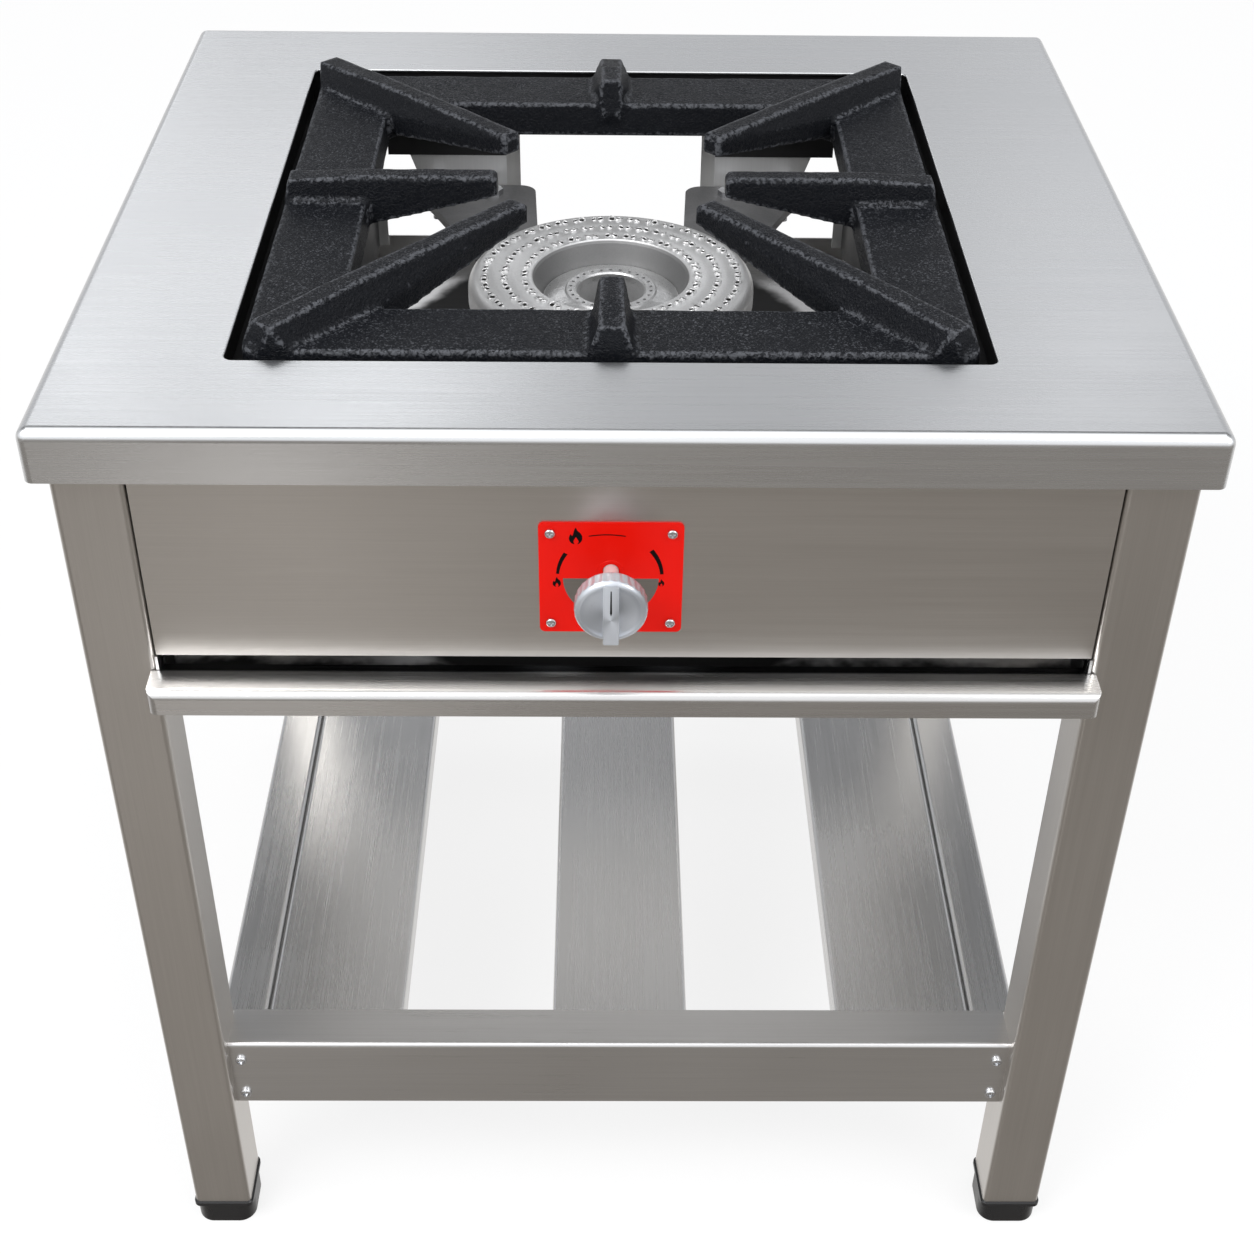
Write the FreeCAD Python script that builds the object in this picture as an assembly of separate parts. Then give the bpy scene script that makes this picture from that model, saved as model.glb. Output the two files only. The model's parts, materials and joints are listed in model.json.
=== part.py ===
"""Free-standing single-burner stock pot range.

Millimetres, +Z up. The pieces are drawn about the middle of the top plate, and
each is then moved by SHIFT, so that the origin is on the floor under the middle
of the whole footprint, with the knob in front (-Y). One STEP file per piece.
"""
import FreeCAD
import Part
import math
import os

V = FreeCAD.Vector

# ---------------------------------------------------------------- driving sizes
# Top plate: a folded stainless tray, turned upside down, with a square cut-out.
TOP_WIDTH = 600.0
TOP_DEPTH = 548.0
TOP_HEIGHT = 645.0
TOP_SHEET = 1.5
APRON = 30.0
APRON_BEND = 6.0
APRON_CORNER = 5.0
WELL_WIDTH = 402.0
WELL_DEPTH = 400.0
WELL_CORNER = 5.0
WELL_EDGE = 0.8
WELL_X = -8.0
WELL_Y = -2.0

# Legs: square tube with plastic plug feet.
LEG = 38.0
LEG_WALL = 1.5
LEG_CORNER = 3.0
LEG_INSET_X = 9.0
LEG_INSET_Y = 10.0
FOOT_HEIGHT = 22.0
FOOT_OVERHANG = 1.2
FOOT_COLLAR = 4.0
FOOT_SET = 0.5
FOOT_CORNER = 11.0
FOOT_EDGE = 1.5
FOOT_PLUG = 22.0
FOOT_RIB = 0.2

# Top frame: rectangular tube between the legs, under the plate.
RAIL_HEIGHT = 30.0
RAIL_DEPTH = 20.0
RAIL_WALL = 1.5

# Front and side panels, folded inwards at their edges.
PANEL_SHEET = 1.2
PANEL_HEIGHT = 145.5
PANEL_GAP = 1.0
PANEL_RETURN = 14.0
PANEL_RECESS = 0.5

# Grate: one iron casting that lies in the cut-out.
GRATE_GAP = 6.0
GRATE_FRONT_GAP = 11.5
GRATE_BAND = 49.0
GRATE_THICK = 22.0
GRATE_BELOW_TOP = 1.0
GRATE_CORNER = 10.0
GRATE_INNER_CORNER = 6.0
GRATE_EDGE = 1.5
FINGER_TOP = 10.0
FINGER_SHOULDER = 15.0
FINGER_BASE = 25.0
SIDE_FINGER_BASE = 16.0
FINGER_TIP_WIDTH = 14.5
FINGER_ROUND = 3.5
FINGER_RISE = 15.0
FINGER_RISE_OUTER = 12.5
FINGER_CHAMFER = 3.0
FINGER_END_ROUND = 4.0
FINGER_TIP_DEPTH = 12.5
FINGER_ROOT_DEPTH = 31.0
FINGER_NOSE = 3.0
REAR_FINGER_INSET = (3.0, 6.0)
REAR_FINGER_TIP = (61.0, 57.0)
FRONT_FINGER_INSET = (10.0, 1.5)
FRONT_FINGER_TIP = (53.0, 36.0)
SIDE_TIP = 67.5
SIDE_FINGER_Y = 0.0
FRONT_TIP = 128.0
REAR_TIP = 143.0
STUB_DROP = 6.0

# Support frame: a ring of folded sheet hung from the plate round the cut-out.
LEDGE_SHEET = 2.0
LEDGE_CLEAR = 3.5
LEDGE_TOP_FLANGE = 16.0
LEDGE_INNER_SET = 6.0
LEDGE_TAB_DROP = 25.0
LEDGE_TAB_END = 152.0

# Two black guards beside the burner and four burner hangers.
GUARD_SHEET = 2.0
GUARD_DROP = 49.0
GUARD_RETURN = 6.0
GUARD_FLANGE = 15.0
GUARD_X = 151.0
GUARD_FRONT = -60.0
GUARD_REAR = 83.0
HANGER_SHEET = 2.0
HANGER_TOP_END = 145.0
HANGER_FOOT = 26.0
RIVET_RADIUS = 2.5
RIVET_HEAD = 4.5
RIVET_HEAD_HEIGHT = 1.8
RIVET_SPACING = 44.0
HANGER_IN = 62.5
HANGER_FOLD = 9.0

# Burner and the iron carrier that holds it on the hangers.
BURNER_TOP_BELOW = 51.0
BURNER_RADIUS = 88.0
BURNER_SHOULDER = 7.0
BURNER_BOWL = 47.0
BURNER_BOWL_FLOOR = 42.0
BURNER_RIM_BEVEL = 2.0
BURNER_HEAD_HEIGHT = 15.0
BURNER_WALL = 5.0
BURNER_FLANGE = 4.0
BURNER_FLANGE_RADIUS = 86.0
PAN_RADIUS = 77.0
PAN_DEPTH = 21.0
PAN_FLOOR = 5.0
INNER_HOLE = 21.0
INNER_RADIUS = 28.5
INNER_BELOW_RIM = 9.5
INNER_SKIRT = 38.0
INNER_BEVEL = 1.0
CORE_SET = 1.0
PORT_PITCH = 12.0
PORT_PAIR = 4.6
PORT_RADIUS = 1.0
PORT_ROWS = (53.5, 66.0, 78.0)
INNER_PORT_ROW = 25.0
CARRIER_THICK = 6.0
CARRIER_RING_OUTER = 87.0
CARRIER_CLEAR = 1.0
LUG_REACH = 171.0
LUG_IN_ROOT = 46.5
LUG_IN_TIP = 52.0
LUG_OUT_ROOT = 88.0
LUG_OUT_TIP = 136.0
LUG_ROOT_Y = 66.0
LUG_CORNER = 11.0
BOLT_RADIUS = 3.0
BOLT_CLEAR = 0.3
BOLT_INSET = 14.0
BOLT_SPACING = 40.0
BOLT_HEX = 10.0
BOLT_HEAD = 4.0
BOLT_NUT = 5.0
BOLT_TAIL = 12.0

# Mixing tube, air shutter and injector, in line with the knob.
TUBE_RADIUS = 16.0
TUBE_BORE = 12.5
BELL_RADIUS = 26.0
BELL_LENGTH = 12.0
BELL_WALL = 4.0
MOUTH_BEHIND_CAP = 26.3
AIR_HOLE = 5.0
AIR_HOLE_CIRCLE = 15.0
AIR_HOLES = 3
SHUTTER_SHEET = 1.2
SHUTTER_GAP = 0.3
SHUTTER_TAB = 14.0
SHUTTER_NECK = 3.0
SHUTTER_EDGE = 1.0
JET_RADIUS = 6.0
JET_HEX = 14.0
JET_HEX_LENGTH = 7.0
JET_ENTRY = 9.0
JET_BORE = 0.9
JET_CLEAR = 1.0
RUN_FIT = 0.05

# Control plate, knob and valve.
KNOB_BELOW_TOP = 88.0
PLATE_WIDTH = 75.0
PLATE_HEIGHT = 69.5
PLATE_THICK = 1.0
PLATE_BELOW_KNOB = 5.0
PLATE_CORNER = 3.0
PLATE_SCREW_X = 63.0
PLATE_SCREW_Z = 57.0
SCREW_RADIUS = 1.5
SCREW_HEAD = 2.7
SCREW_HEAD_HEIGHT = 1.7
SCREW_LENGTH = 7.0
SCREW_CLEAR = 0.1
SCREW_MARGIN = 0.5
CROSS_REACH = 0.6
CROSS_ARM = 0.18
CROSS_DEPTH = 0.5
KNOB_GAP = 26.5
KNOB_DEPTH = 10.5
KNOB_RADIUS = 18.8
KNOB_FACE_RADIUS = 16.4
KNOB_CHAMFER = 1.8
KNOB_FLUTES = 40
KNOB_FLUTE_DEPTH = 0.6
KNOB_BOSS = 7.5
KNOB_BOSS_LENGTH = 3.0
KNOB_WALL = 2.0
GRIP_WIDTH = 8.2
GRIP_HEIGHT = 6.5
GRIP_TOP_HEIGHT = 1.6
GRIP_HALF = 16.6
PUSH_TRAVEL = 3.0
SPINDLE_RADIUS = 4.0
SPINDLE_HOLE = 6.0
TANG_THICK = 3.0
TANG_LENGTH = 7.0
TANG_FIT = 0.3
BRACKET_SHEET = 2.0
VALVE_FLANGE = 34.0
VALVE_FLANGE_THICK = 4.0
VALVE_RADIUS = 13.0
VALVE_LENGTH = 36.0
PLUG_RADIUS = 8.0
PLUG_LENGTH = 24.0
PLUG_SLOT = 9.0
GAS_WAY = 3.0
CAP_HEX = 22.0
CAP_LENGTH = 6.0

# Gas supply pipe from the back to the valve.
PIPE_RADIUS = 6.0
PIPE_WALL = 1.0
PIPE_BEND = 24.0
PIPE_FROM_LEG = 28.0
PIPE_BEHIND_BRACKET = 24.3
INLET_STUB = 8.0
STUB_RADIUS = 8.0
NUT_HEX = 19.0
NUT_LENGTH = 14.0
INLET_FROM_BACK = 24.0
INLET_THREAD = 10.48
INLET_THREAD_LENGTH = 14.0
INLET_HEX = 27.0
INLET_HEX_LENGTH = 8.0
INLET_PLATE_HEIGHT = 40.0
INLET_FLANGE = 10.0

# Drip tray with its full-width handle, on two angle runners.
RUNNER_SHEET = 1.5
RUNNER_HEIGHT = 26.0
RUNNER_LEDGE = 20.0
RUNNER_BELOW_PANEL = 27.0
TRAY_CLEAR = 0.3
TRAY_SIDE_GAP = 1.5
TRAY_SHEET = 1.0
TRAY_HEIGHT = 20.0
TRAY_FRONT_SET = 1.5
TRAY_REAR_SET = 6.0
TRAY_BEND = 4.0
HANDLE_BELOW_PANEL = 10.2
HANDLE_REACH = 20.0
HANDLE_DROP = 15.0
HANDLE_BEND = 5.0
HANDLE_OVERLAP = 3.0
HANDLE_SHEET = 1.2
HANDLE_HEM = 5.0
LEG_CLEAR = 0.3

# Undershelf: folded rails between the legs, side rails and slats.
SHELF_TOP = 174.0
SHELF_RAIL_HEIGHT = 56.0
SHELF_RAIL_DEPTH = 30.0
SHELF_RAIL_SET = 9.2
SHELF_SHEET = 1.5
SHELF_BEND = 3.0
SIDE_RAIL_WIDTH = 30.0
SIDE_RAIL_HEIGHT = 40.0
SLAT_WIDTH = 88.0
SLAT_PITCH = 186.0
SLAT_LIP = 20.0
SIDE_RAIL_GAP = 1.0
SHELF_SCREW_INSET = 7.0
SHELF_SCREW_DROP = 15.0
SHELF_SCREW_PITCH = 32.0
SHELF_SCREW_RADIUS = 2.0
SHELF_SCREW_HEAD = 3.6
SHELF_SCREW_HEAD_HEIGHT = 2.2
CLEAT_SHEET = 2.0
CLEAT_WIDTH = 18.0
CLEAT_HEIGHT = 46.0

# ---------------------------------------------------------------- derived places
HALF_W = TOP_WIDTH / 2
HALF_D = TOP_DEPTH / 2
PLATE_UNDER = TOP_HEIGHT - TOP_SHEET
PANEL_BOTTOM = TOP_HEIGHT - PANEL_HEIGHT
LEG_OUT_X = HALF_W - LEG_INSET_X
LEG_IN_X = LEG_OUT_X - LEG
LEG_OUT_Y = HALF_D - LEG_INSET_Y
LEG_IN_Y = LEG_OUT_Y - LEG

GRATE_HALF_X = WELL_WIDTH / 2 - GRATE_GAP
GRATE_REAR = WELL_DEPTH / 2 - GRATE_GAP
GRATE_FRONT = WELL_DEPTH / 2 - GRATE_FRONT_GAP
GRATE_TOP = TOP_HEIGHT - GRATE_BELOW_TOP
GRATE_BOTTOM = GRATE_TOP - GRATE_THICK
GRATE_IN_X = GRATE_HALF_X - GRATE_BAND
GRATE_IN_Y = GRATE_REAR - GRATE_BAND
POT_TOP = TOP_HEIGHT + FINGER_RISE

LEDGE_OUT_X = WELL_WIDTH / 2 + LEDGE_CLEAR + LEDGE_SHEET
LEDGE_OUT_Y = WELL_DEPTH / 2 + LEDGE_CLEAR + LEDGE_SHEET
LEDGE_IN_X = GRATE_IN_X + LEDGE_INNER_SET
LEDGE_IN_Y = GRATE_IN_Y + LEDGE_INNER_SET
LEDGE_UNDER = GRATE_BOTTOM - LEDGE_SHEET

BURNER_TOP = TOP_HEIGHT - BURNER_TOP_BELOW
HEAD_BOTTOM = BURNER_TOP - BURNER_HEAD_HEIGHT
CARRIER_TOP = HEAD_BOTTOM - BURNER_FLANGE
CARRIER_UNDER = CARRIER_TOP - CARRIER_THICK
HANGER_Y = LUG_REACH + CARRIER_CLEAR

FASCIA_FACE = -LEG_OUT_Y + PANEL_RECESS
FASCIA_BACK = FASCIA_FACE + PANEL_SHEET
PLATE_FACE = FASCIA_FACE - PLATE_THICK
KNOB_Z = TOP_HEIGHT - KNOB_BELOW_TOP
PLATE_Z = KNOB_Z - PLATE_BELOW_KNOB
KNOB_BACK = PLATE_FACE - KNOB_GAP
KNOB_FACE = KNOB_BACK - KNOB_DEPTH
KNOB_FRONT = KNOB_FACE - GRIP_HEIGHT
BRACKET_BACK = FASCIA_BACK + BRACKET_SHEET
VALVE_BACK = BRACKET_BACK + VALVE_LENGTH
CAP_BACK = VALVE_BACK + CAP_LENGTH
PLUG_FRONT = VALVE_BACK - PLUG_LENGTH - GAS_WAY
PLUG_BACK = VALVE_BACK - GAS_WAY
MOUTH_Y = CAP_BACK + MOUTH_BEHIND_CAP
MOUTH_REACH = WELL_Y - MOUTH_Y
SHUTTER_BACK = MOUTH_Y - SHUTTER_GAP
SHUTTER_FRONT = SHUTTER_BACK - SHUTTER_SHEET
JET_TIP = MOUTH_Y + JET_ENTRY
PIPE_X = LEG_IN_X - PIPE_FROM_LEG
PIPE_Y = BRACKET_BACK + PIPE_BEHIND_BRACKET
INLET_Y = LEG_OUT_Y - INLET_FROM_BACK
STUB_END = WELL_X + VALVE_RADIUS + INLET_STUB

RUNNER_Z = PANEL_BOTTOM - RUNNER_BELOW_PANEL
HANDLE_TOP_Z = PANEL_BOTTOM - HANDLE_BELOW_PANEL
TRAY_HALF = LEG_IN_X - RUNNER_SHEET - TRAY_SIDE_GAP
TRAY_BOTTOM = RUNNER_Z + RUNNER_SHEET + TRAY_CLEAR
TRAY_FRONT = -LEG_OUT_Y + TRAY_FRONT_SET
TRAY_REAR = LEG_OUT_Y - TRAY_REAR_SET
HANDLE_FRONT = -LEG_OUT_Y - HANDLE_REACH
HANDLE_UNDER = HANDLE_TOP_Z - HANDLE_SHEET

SHELF_RAIL_FACE = LEG_OUT_Y - SHELF_RAIL_SET
SHELF_RAIL_INNER = SHELF_RAIL_FACE - SHELF_RAIL_DEPTH
SIDE_RAIL_IN = SLAT_PITCH + SLAT_WIDTH / 2 + SIDE_RAIL_GAP

# The footprint reaches from the knob's grip to the back of the top plate.
SHIFT = V(0, (-KNOB_FRONT - HALF_D) / 2, 0)

SIDES = (("left", -1), ("right", 1))
ENDS = (("front", -1), ("rear", 1))


# ---------------------------------------------------------------- plain forms
def block(x0, x1, y0, y1, z0, z1):
    """A box between two corners, given in either order."""
    low = V(min(x0, x1), min(y0, y1), min(z0, z1))
    return Part.makeBox(abs(x1 - x0), abs(y1 - y0), abs(z1 - z0), low)


AXES = {"x": V(1, 0, 0), "y": V(0, 1, 0), "z": V(0, 0, 1)}


def place(axis, u, v, along):
    """A point from its distance along an axis and its two other coordinates."""
    return {"x": V(along, u, v), "y": V(u, along, v), "z": V(u, v, along)}[axis]


def rod(axis, u, v, radius, start, end):
    """A cylinder along an axis; u and v are its two other coordinates in order."""
    low, high = min(start, end), max(start, end)
    return Part.makeCylinder(radius, high - low, place(axis, u, v, low), AXES[axis])


def prism(axis, points, start, end):
    """A polygon of (u, v) points, extruded along an axis."""
    corners = [place(axis, u, v, start) for u, v in points]
    face = Part.Face(Part.makePolygon(corners + corners[:1]))
    return face.extrude(AXES[axis] * (end - start))


def hexagon(axis, u, v, across, start, end):
    """A hexagonal bar, with its size across flats."""
    radius = across / math.sqrt(3)
    points = [(u + radius * math.cos(math.radians(60 * i)), v + radius * math.sin(math.radians(60 * i)))
              for i in range(6)]
    return prism(axis, points, start, end)


def turned(points, x, y):
    """A solid turned about the vertical axis at (x, y), from (radius, z) points."""
    corners = [V(x + r, y, z) for r, z in points]
    face = Part.Face(Part.makePolygon(corners + corners[:1]))
    return face.revolve(V(x, y, 0), V(0, 0, 1), 360)


def joined(shapes):
    """One solid from touching or overlapping ones."""
    shapes = list(shapes)
    return shapes[0].multiFuse(shapes[1:]).removeSplitter()


def rounded(shape, radius, chosen, chamfer=False):
    """Round or bevel the edges for which chosen(middle, direction) is true."""
    edges = []
    for edge in shape.Edges:
        if edge.Curve.TypeId != "Part::GeomLine":
            continue
        ends = [vertex.Point for vertex in edge.Vertexes]
        if len(ends) == 2 and chosen((ends[0] + ends[1]) * 0.5, (ends[1] - ends[0]).normalize()):
            edges.append(edge)
    if not edges:
        return shape
    return shape.makeChamfer(radius, edges) if chamfer else shape.makeFillet(radius, edges)


def upright(_, direction):
    """True for a vertical edge."""
    return abs(direction.z) > 0.999


def mirrored(shape, side):
    """The shape itself on the right (side 1), or its mirror image on the left."""
    return shape if side > 0 else shape.mirror(V(0, 0, 0), V(1, 0, 0))


def flipped(shape, end):
    """The shape itself at the rear (end 1), or its mirror image at the front."""
    return shape if end > 0 else shape.mirror(V(0, 0, 0), V(0, 1, 0))


def in_well(shape):
    """A shape drawn about the middle of the cut-out, moved to its place."""
    return shape.translated(V(WELL_X, WELL_Y, 0))


def save(name, shape):
    """Write one piece, in its place about the origin."""
    shape.translated(SHIFT).exportStep(os.path.join("parts", name + ".step"))


# ---------------------------------------------------------------- top and frame
def top_plate():
    """Folded top with its apron, rounded bends and the square cut-out with its soft rim."""
    outer = block(-HALF_W, HALF_W, -HALF_D, HALF_D, TOP_HEIGHT - APRON, TOP_HEIGHT)
    outer = rounded(outer, APRON_CORNER, upright)
    outer = outer.makeFillet(APRON_BEND, [e for e in outer.Edges if e.CenterOfMass.z > TOP_HEIGHT - 0.01])
    in_x, in_y = HALF_W - TOP_SHEET, HALF_D - TOP_SHEET
    inner = block(-in_x, in_x, -in_y, in_y, TOP_HEIGHT - APRON, PLATE_UNDER)
    inner = rounded(inner, APRON_CORNER - TOP_SHEET, upright)
    upper = [e for e in inner.Edges if e.CenterOfMass.z > PLATE_UNDER - 0.01]
    inner = inner.makeFillet(APRON_BEND - TOP_SHEET, upper)
    well_x, well_y = WELL_WIDTH / 2, WELL_DEPTH / 2
    well = block(-well_x, well_x, -well_y, well_y, PLATE_UNDER - 1, TOP_HEIGHT + 1)
    plate = outer.cut(inner).cut(in_well(rounded(well, WELL_CORNER, upright)))
    rim = []
    for edge in plate.Edges:
        middle = edge.CenterOfMass - V(WELL_X, WELL_Y, TOP_HEIGHT)
        if middle.z > -0.01 and abs(middle.x) < well_x + 0.01 and abs(middle.y) < well_y + 0.01:
            rim.append(edge)
    return plate.makeFillet(WELL_EDGE, rim)


def square_tube(size_x, size_y, wall, corner, z0, z1, x, y):
    """An upright tube with rounded corners, about (x, y)."""
    outer = block(x - size_x / 2, x + size_x / 2, y - size_y / 2, y + size_y / 2, z0, z1)
    in_x, in_y = size_x / 2 - wall, size_y / 2 - wall
    inner = block(x - in_x, x + in_x, y - in_y, y + in_y, z0, z1)
    return rounded(outer, corner, upright).cut(rounded(inner, corner - wall, upright))


def leg(side, end):
    """One leg, from its foot's flange to the underside of the plate."""
    x, y = side * (LEG_OUT_X - LEG / 2), end * (LEG_OUT_Y - LEG / 2)
    return square_tube(LEG, LEG, LEG_WALL, LEG_CORNER, FOOT_HEIGHT, PLATE_UNDER, x, y)


def foot(side, end):
    """A plastic foot: a rounded block, a collar under the leg and a plug in it."""
    x, y = side * (LEG_OUT_X - LEG / 2), end * (LEG_OUT_Y - LEG / 2)

    def pad(half, corner, z0, z1):
        return rounded(block(x - half, x + half, y - half, y + half, z0, z1), corner, upright)

    half = LEG / 2 + FOOT_OVERHANG
    low = pad(half - FOOT_SET, FOOT_CORNER, 0, FOOT_HEIGHT - FOOT_COLLAR)
    low = low.makeFillet(FOOT_EDGE, [e for e in low.Edges if e.CenterOfMass.z < 0.01])
    collar = pad(half, LEG_CORNER + FOOT_OVERHANG, FOOT_HEIGHT - FOOT_COLLAR, FOOT_HEIGHT)
    top = [e for e in collar.Edges if e.CenterOfMass.z > FOOT_HEIGHT - 0.01]
    collar = collar.makeChamfer(FOOT_OVERHANG, top)
    plug = pad(LEG / 2 - LEG_WALL - FOOT_RIB, LEG_CORNER, FOOT_HEIGHT, FOOT_HEIGHT + FOOT_PLUG)
    return joined([low, collar, plug])


def frame_rail_cross(end):
    """A tube between the left and right legs, under the plate."""
    y0, y1 = end * LEG_OUT_Y, end * (LEG_OUT_Y - RAIL_DEPTH)
    if end < 0:
        y0, y1 = FASCIA_BACK, FASCIA_BACK + RAIL_DEPTH
    outer = block(-LEG_IN_X, LEG_IN_X, y0, y1, PLATE_UNDER - RAIL_HEIGHT, PLATE_UNDER)
    low, high = min(y0, y1) + RAIL_WALL, max(y0, y1) - RAIL_WALL
    hollow = block(-LEG_IN_X, LEG_IN_X, low, high,
                   PLATE_UNDER - RAIL_HEIGHT + RAIL_WALL, PLATE_UNDER - RAIL_WALL)
    return outer.cut(hollow)


def frame_rail_side(side):
    """A tube between the front and rear legs, under the plate."""
    x1 = LEG_OUT_X - PANEL_SHEET
    x0 = x1 - RAIL_DEPTH
    outer = block(x0, x1, -LEG_IN_Y, LEG_IN_Y, PLATE_UNDER - RAIL_HEIGHT, PLATE_UNDER)
    hollow = block(x0 + RAIL_WALL, x1 - RAIL_WALL, -LEG_IN_Y, LEG_IN_Y,
                   PLATE_UNDER - RAIL_HEIGHT + RAIL_WALL, PLATE_UNDER - RAIL_WALL)
    return mirrored(outer.cut(hollow), side)


def folded_panel(half, z0, z1):
    """A panel that faces -Y at y = 0, with returns at its two sides and its foot."""
    sheet = block(-half, half, 0, PANEL_SHEET, z0, z1)
    foot_fold = block(-half, half, 0, PANEL_RETURN, z0, z0 + PANEL_SHEET)
    side_fold = block(half - PANEL_SHEET, half, 0, PANEL_RETURN, z0, PLATE_UNDER - RAIL_HEIGHT)
    return joined([sheet, foot_fold, side_fold, mirrored(side_fold, -1)])


def plate_screw_places():
    """The (x, z) of the control plate's four screws."""
    return [(WELL_X + sx * PLATE_SCREW_X / 2, PLATE_Z + sz * PLATE_SCREW_Z / 2)
            for sx in (-1, 1) for sz in (-1, 1)]


def fascia():
    """Front panel between the legs, pierced for the spindle and the plate's screws."""
    panel = folded_panel(LEG_IN_X - PANEL_GAP, PANEL_BOTTOM, PLATE_UNDER).translated(V(0, FASCIA_FACE, 0))
    holes = [rod("y", WELL_X, KNOB_Z, SPINDLE_HOLE, FASCIA_FACE - 1, FASCIA_BACK + 1)]
    holes += [rod("y", x, z, SCREW_RADIUS + SCREW_CLEAR, FASCIA_FACE - 1, FASCIA_BACK + 1)
              for x, z in plate_screw_places()]
    return panel.cut(holes)


def side_panel(side):
    """Side panel between a front and a rear leg, flush with their outer faces."""
    panel = folded_panel(LEG_IN_Y - PANEL_GAP, PANEL_BOTTOM, PLATE_UNDER)
    panel.rotate(V(0, 0, 0), V(0, 0, 1), 90)
    return mirrored(panel.translated(V(LEG_OUT_X, 0, 0)), side)


# ---------------------------------------------------------------- grate
def bar(profile, length, root, base):
    """A tapering bar along +X from (x, z) side points, with a rounded top and tip.

    root is how far along it begins to taper towards its tip, and base is its width on the band.
    """
    side = prism("y", profile, -base, base)
    top, shoulder, foot = FINGER_TOP / 2, FINGER_SHOULDER / 2, base / 2
    low, bend = GRATE_BOTTOM, POT_TOP - FINGER_ROUND
    crown = V(0, (top + 2 * shoulder) / 3, POT_TOP - FINGER_ROUND / 3)
    points = [V(0, foot, low), V(0, foot, GRATE_TOP), V(0, shoulder, bend), crown, V(0, top, POT_TOP)]
    mirror = [V(0, -point.y, point.z) for point in points]
    edges = [Part.makeLine(points[0], points[1]), Part.makeLine(points[1], points[2]),
             Part.Arc(*points[2:]).toShape(), Part.makeLine(points[4], mirror[4]),
             Part.Arc(*reversed(mirror[2:])).toShape(), Part.makeLine(mirror[2], mirror[1]),
             Part.makeLine(mirror[1], mirror[0]), Part.makeLine(mirror[0], points[0])]
    section = Part.Face(Part.Wire(edges)).extrude(V(length, 0, 0))
    half = FINGER_TIP_WIDTH / 2
    outline = [(0, -foot), (root, -foot), (length, -half), (length, half), (root, foot), (0, foot)]
    plan = prism("z", outline, low, POT_TOP)
    plan = rounded(plan, FINGER_NOSE, lambda middle, d: upright(middle, d) and middle.x > length - 0.01)
    plan = rounded(plan, FINGER_END_ROUND, lambda middle, d: upright(middle, d) and middle.x < 0.01)
    return side.common(section).common(plan)


def finger(length, root, base):
    """A long finger from the band's outer edge; root is where the band ends."""
    profile = [(0, GRATE_BOTTOM), (0, GRATE_TOP), (FINGER_CHAMFER, TOP_HEIGHT + FINGER_RISE_OUTER),
               (root, POT_TOP), (length - FINGER_NOSE, POT_TOP), (length, POT_TOP - FINGER_NOSE),
               (length, POT_TOP - FINGER_TIP_DEPTH), (root, POT_TOP - FINGER_ROOT_DEPTH),
               (root, GRATE_BOTTOM)]
    return bar(profile, length, root, base)


def stub(length):
    """A short finger on the band, whose nose slopes down to the band's top."""
    profile = [(0, GRATE_BOTTOM), (0, GRATE_TOP), (FINGER_CHAMFER, TOP_HEIGHT + FINGER_RISE_OUTER),
               (length / 2, POT_TOP), (length - FINGER_NOSE, POT_TOP), (length, GRATE_TOP - STUB_DROP),
               (GRATE_BAND - GRATE_EDGE, GRATE_BOTTOM)]
    return bar(profile, length, length / 2, FINGER_BASE)


def corner_finger(inset, tip, edge):
    """The finger from the front left corner of the band to a tip at (-x, -y).

    inset is how far its outer end lies in from the corner, and edge is how far
    the band's edge lies from the middle of the cut-out.
    """
    start_x, start_y = GRATE_HALF_X - inset[0], edge - inset[1]
    run_x, run_y = start_x - tip[0], start_y - tip[1]
    length = math.hypot(run_x, run_y)
    piece = finger(length, GRATE_BAND * length / run_x, FINGER_BASE)
    piece.rotate(V(0, 0, 0), V(0, 0, 1), math.degrees(math.atan2(run_y, run_x)))
    outline = block(-GRATE_HALF_X, GRATE_HALF_X, -edge, edge, GRATE_BOTTOM, POT_TOP)
    return piece.translated(V(-start_x, -start_y, 0)).common(rounded(outline, GRATE_CORNER, upright))


def grate():
    """Square band with four corner fingers, two side fingers and two stubs."""
    band = block(-GRATE_HALF_X, GRATE_HALF_X, -GRATE_FRONT, GRATE_REAR, GRATE_BOTTOM, GRATE_TOP)
    band = rounded(band, GRATE_CORNER, upright)
    band = band.makeChamfer(GRATE_EDGE, [e for e in band.Edges if e.CenterOfMass.z > GRATE_TOP - 0.01])
    in_front = GRATE_BAND - GRATE_FRONT
    hole = block(-GRATE_IN_X, GRATE_IN_X, in_front, GRATE_IN_Y, GRATE_BOTTOM - 1, GRATE_TOP + 1)
    band = band.cut(rounded(hole, GRATE_INNER_CORNER, upright))
    side = finger(GRATE_HALF_X - SIDE_TIP, GRATE_BAND, SIDE_FINGER_BASE)
    side = side.translated(V(-GRATE_HALF_X, SIDE_FINGER_Y, 0))
    corners = {-1: corner_finger(FRONT_FINGER_INSET, FRONT_FINGER_TIP, GRATE_FRONT),
               1: corner_finger(REAR_FINGER_INSET, REAR_FINGER_TIP, GRATE_REAR)}
    pieces = [band]
    for _, sx in SIDES:
        pieces.append(mirrored(side, -sx))
        for _, sy in ENDS:
            pieces.append(flipped(mirrored(corners[sy], -sx), -sy))
    for edge, tip, sy in ((GRATE_FRONT, FRONT_TIP, -1), (GRATE_REAR, REAR_TIP, 1)):
        short = stub(edge - tip)
        short.rotate(V(0, 0, 0), V(0, 0, 1), -90 * sy)
        pieces.append(short.translated(V(0, sy * edge, 0)))
    return in_well(joined(pieces))


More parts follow.
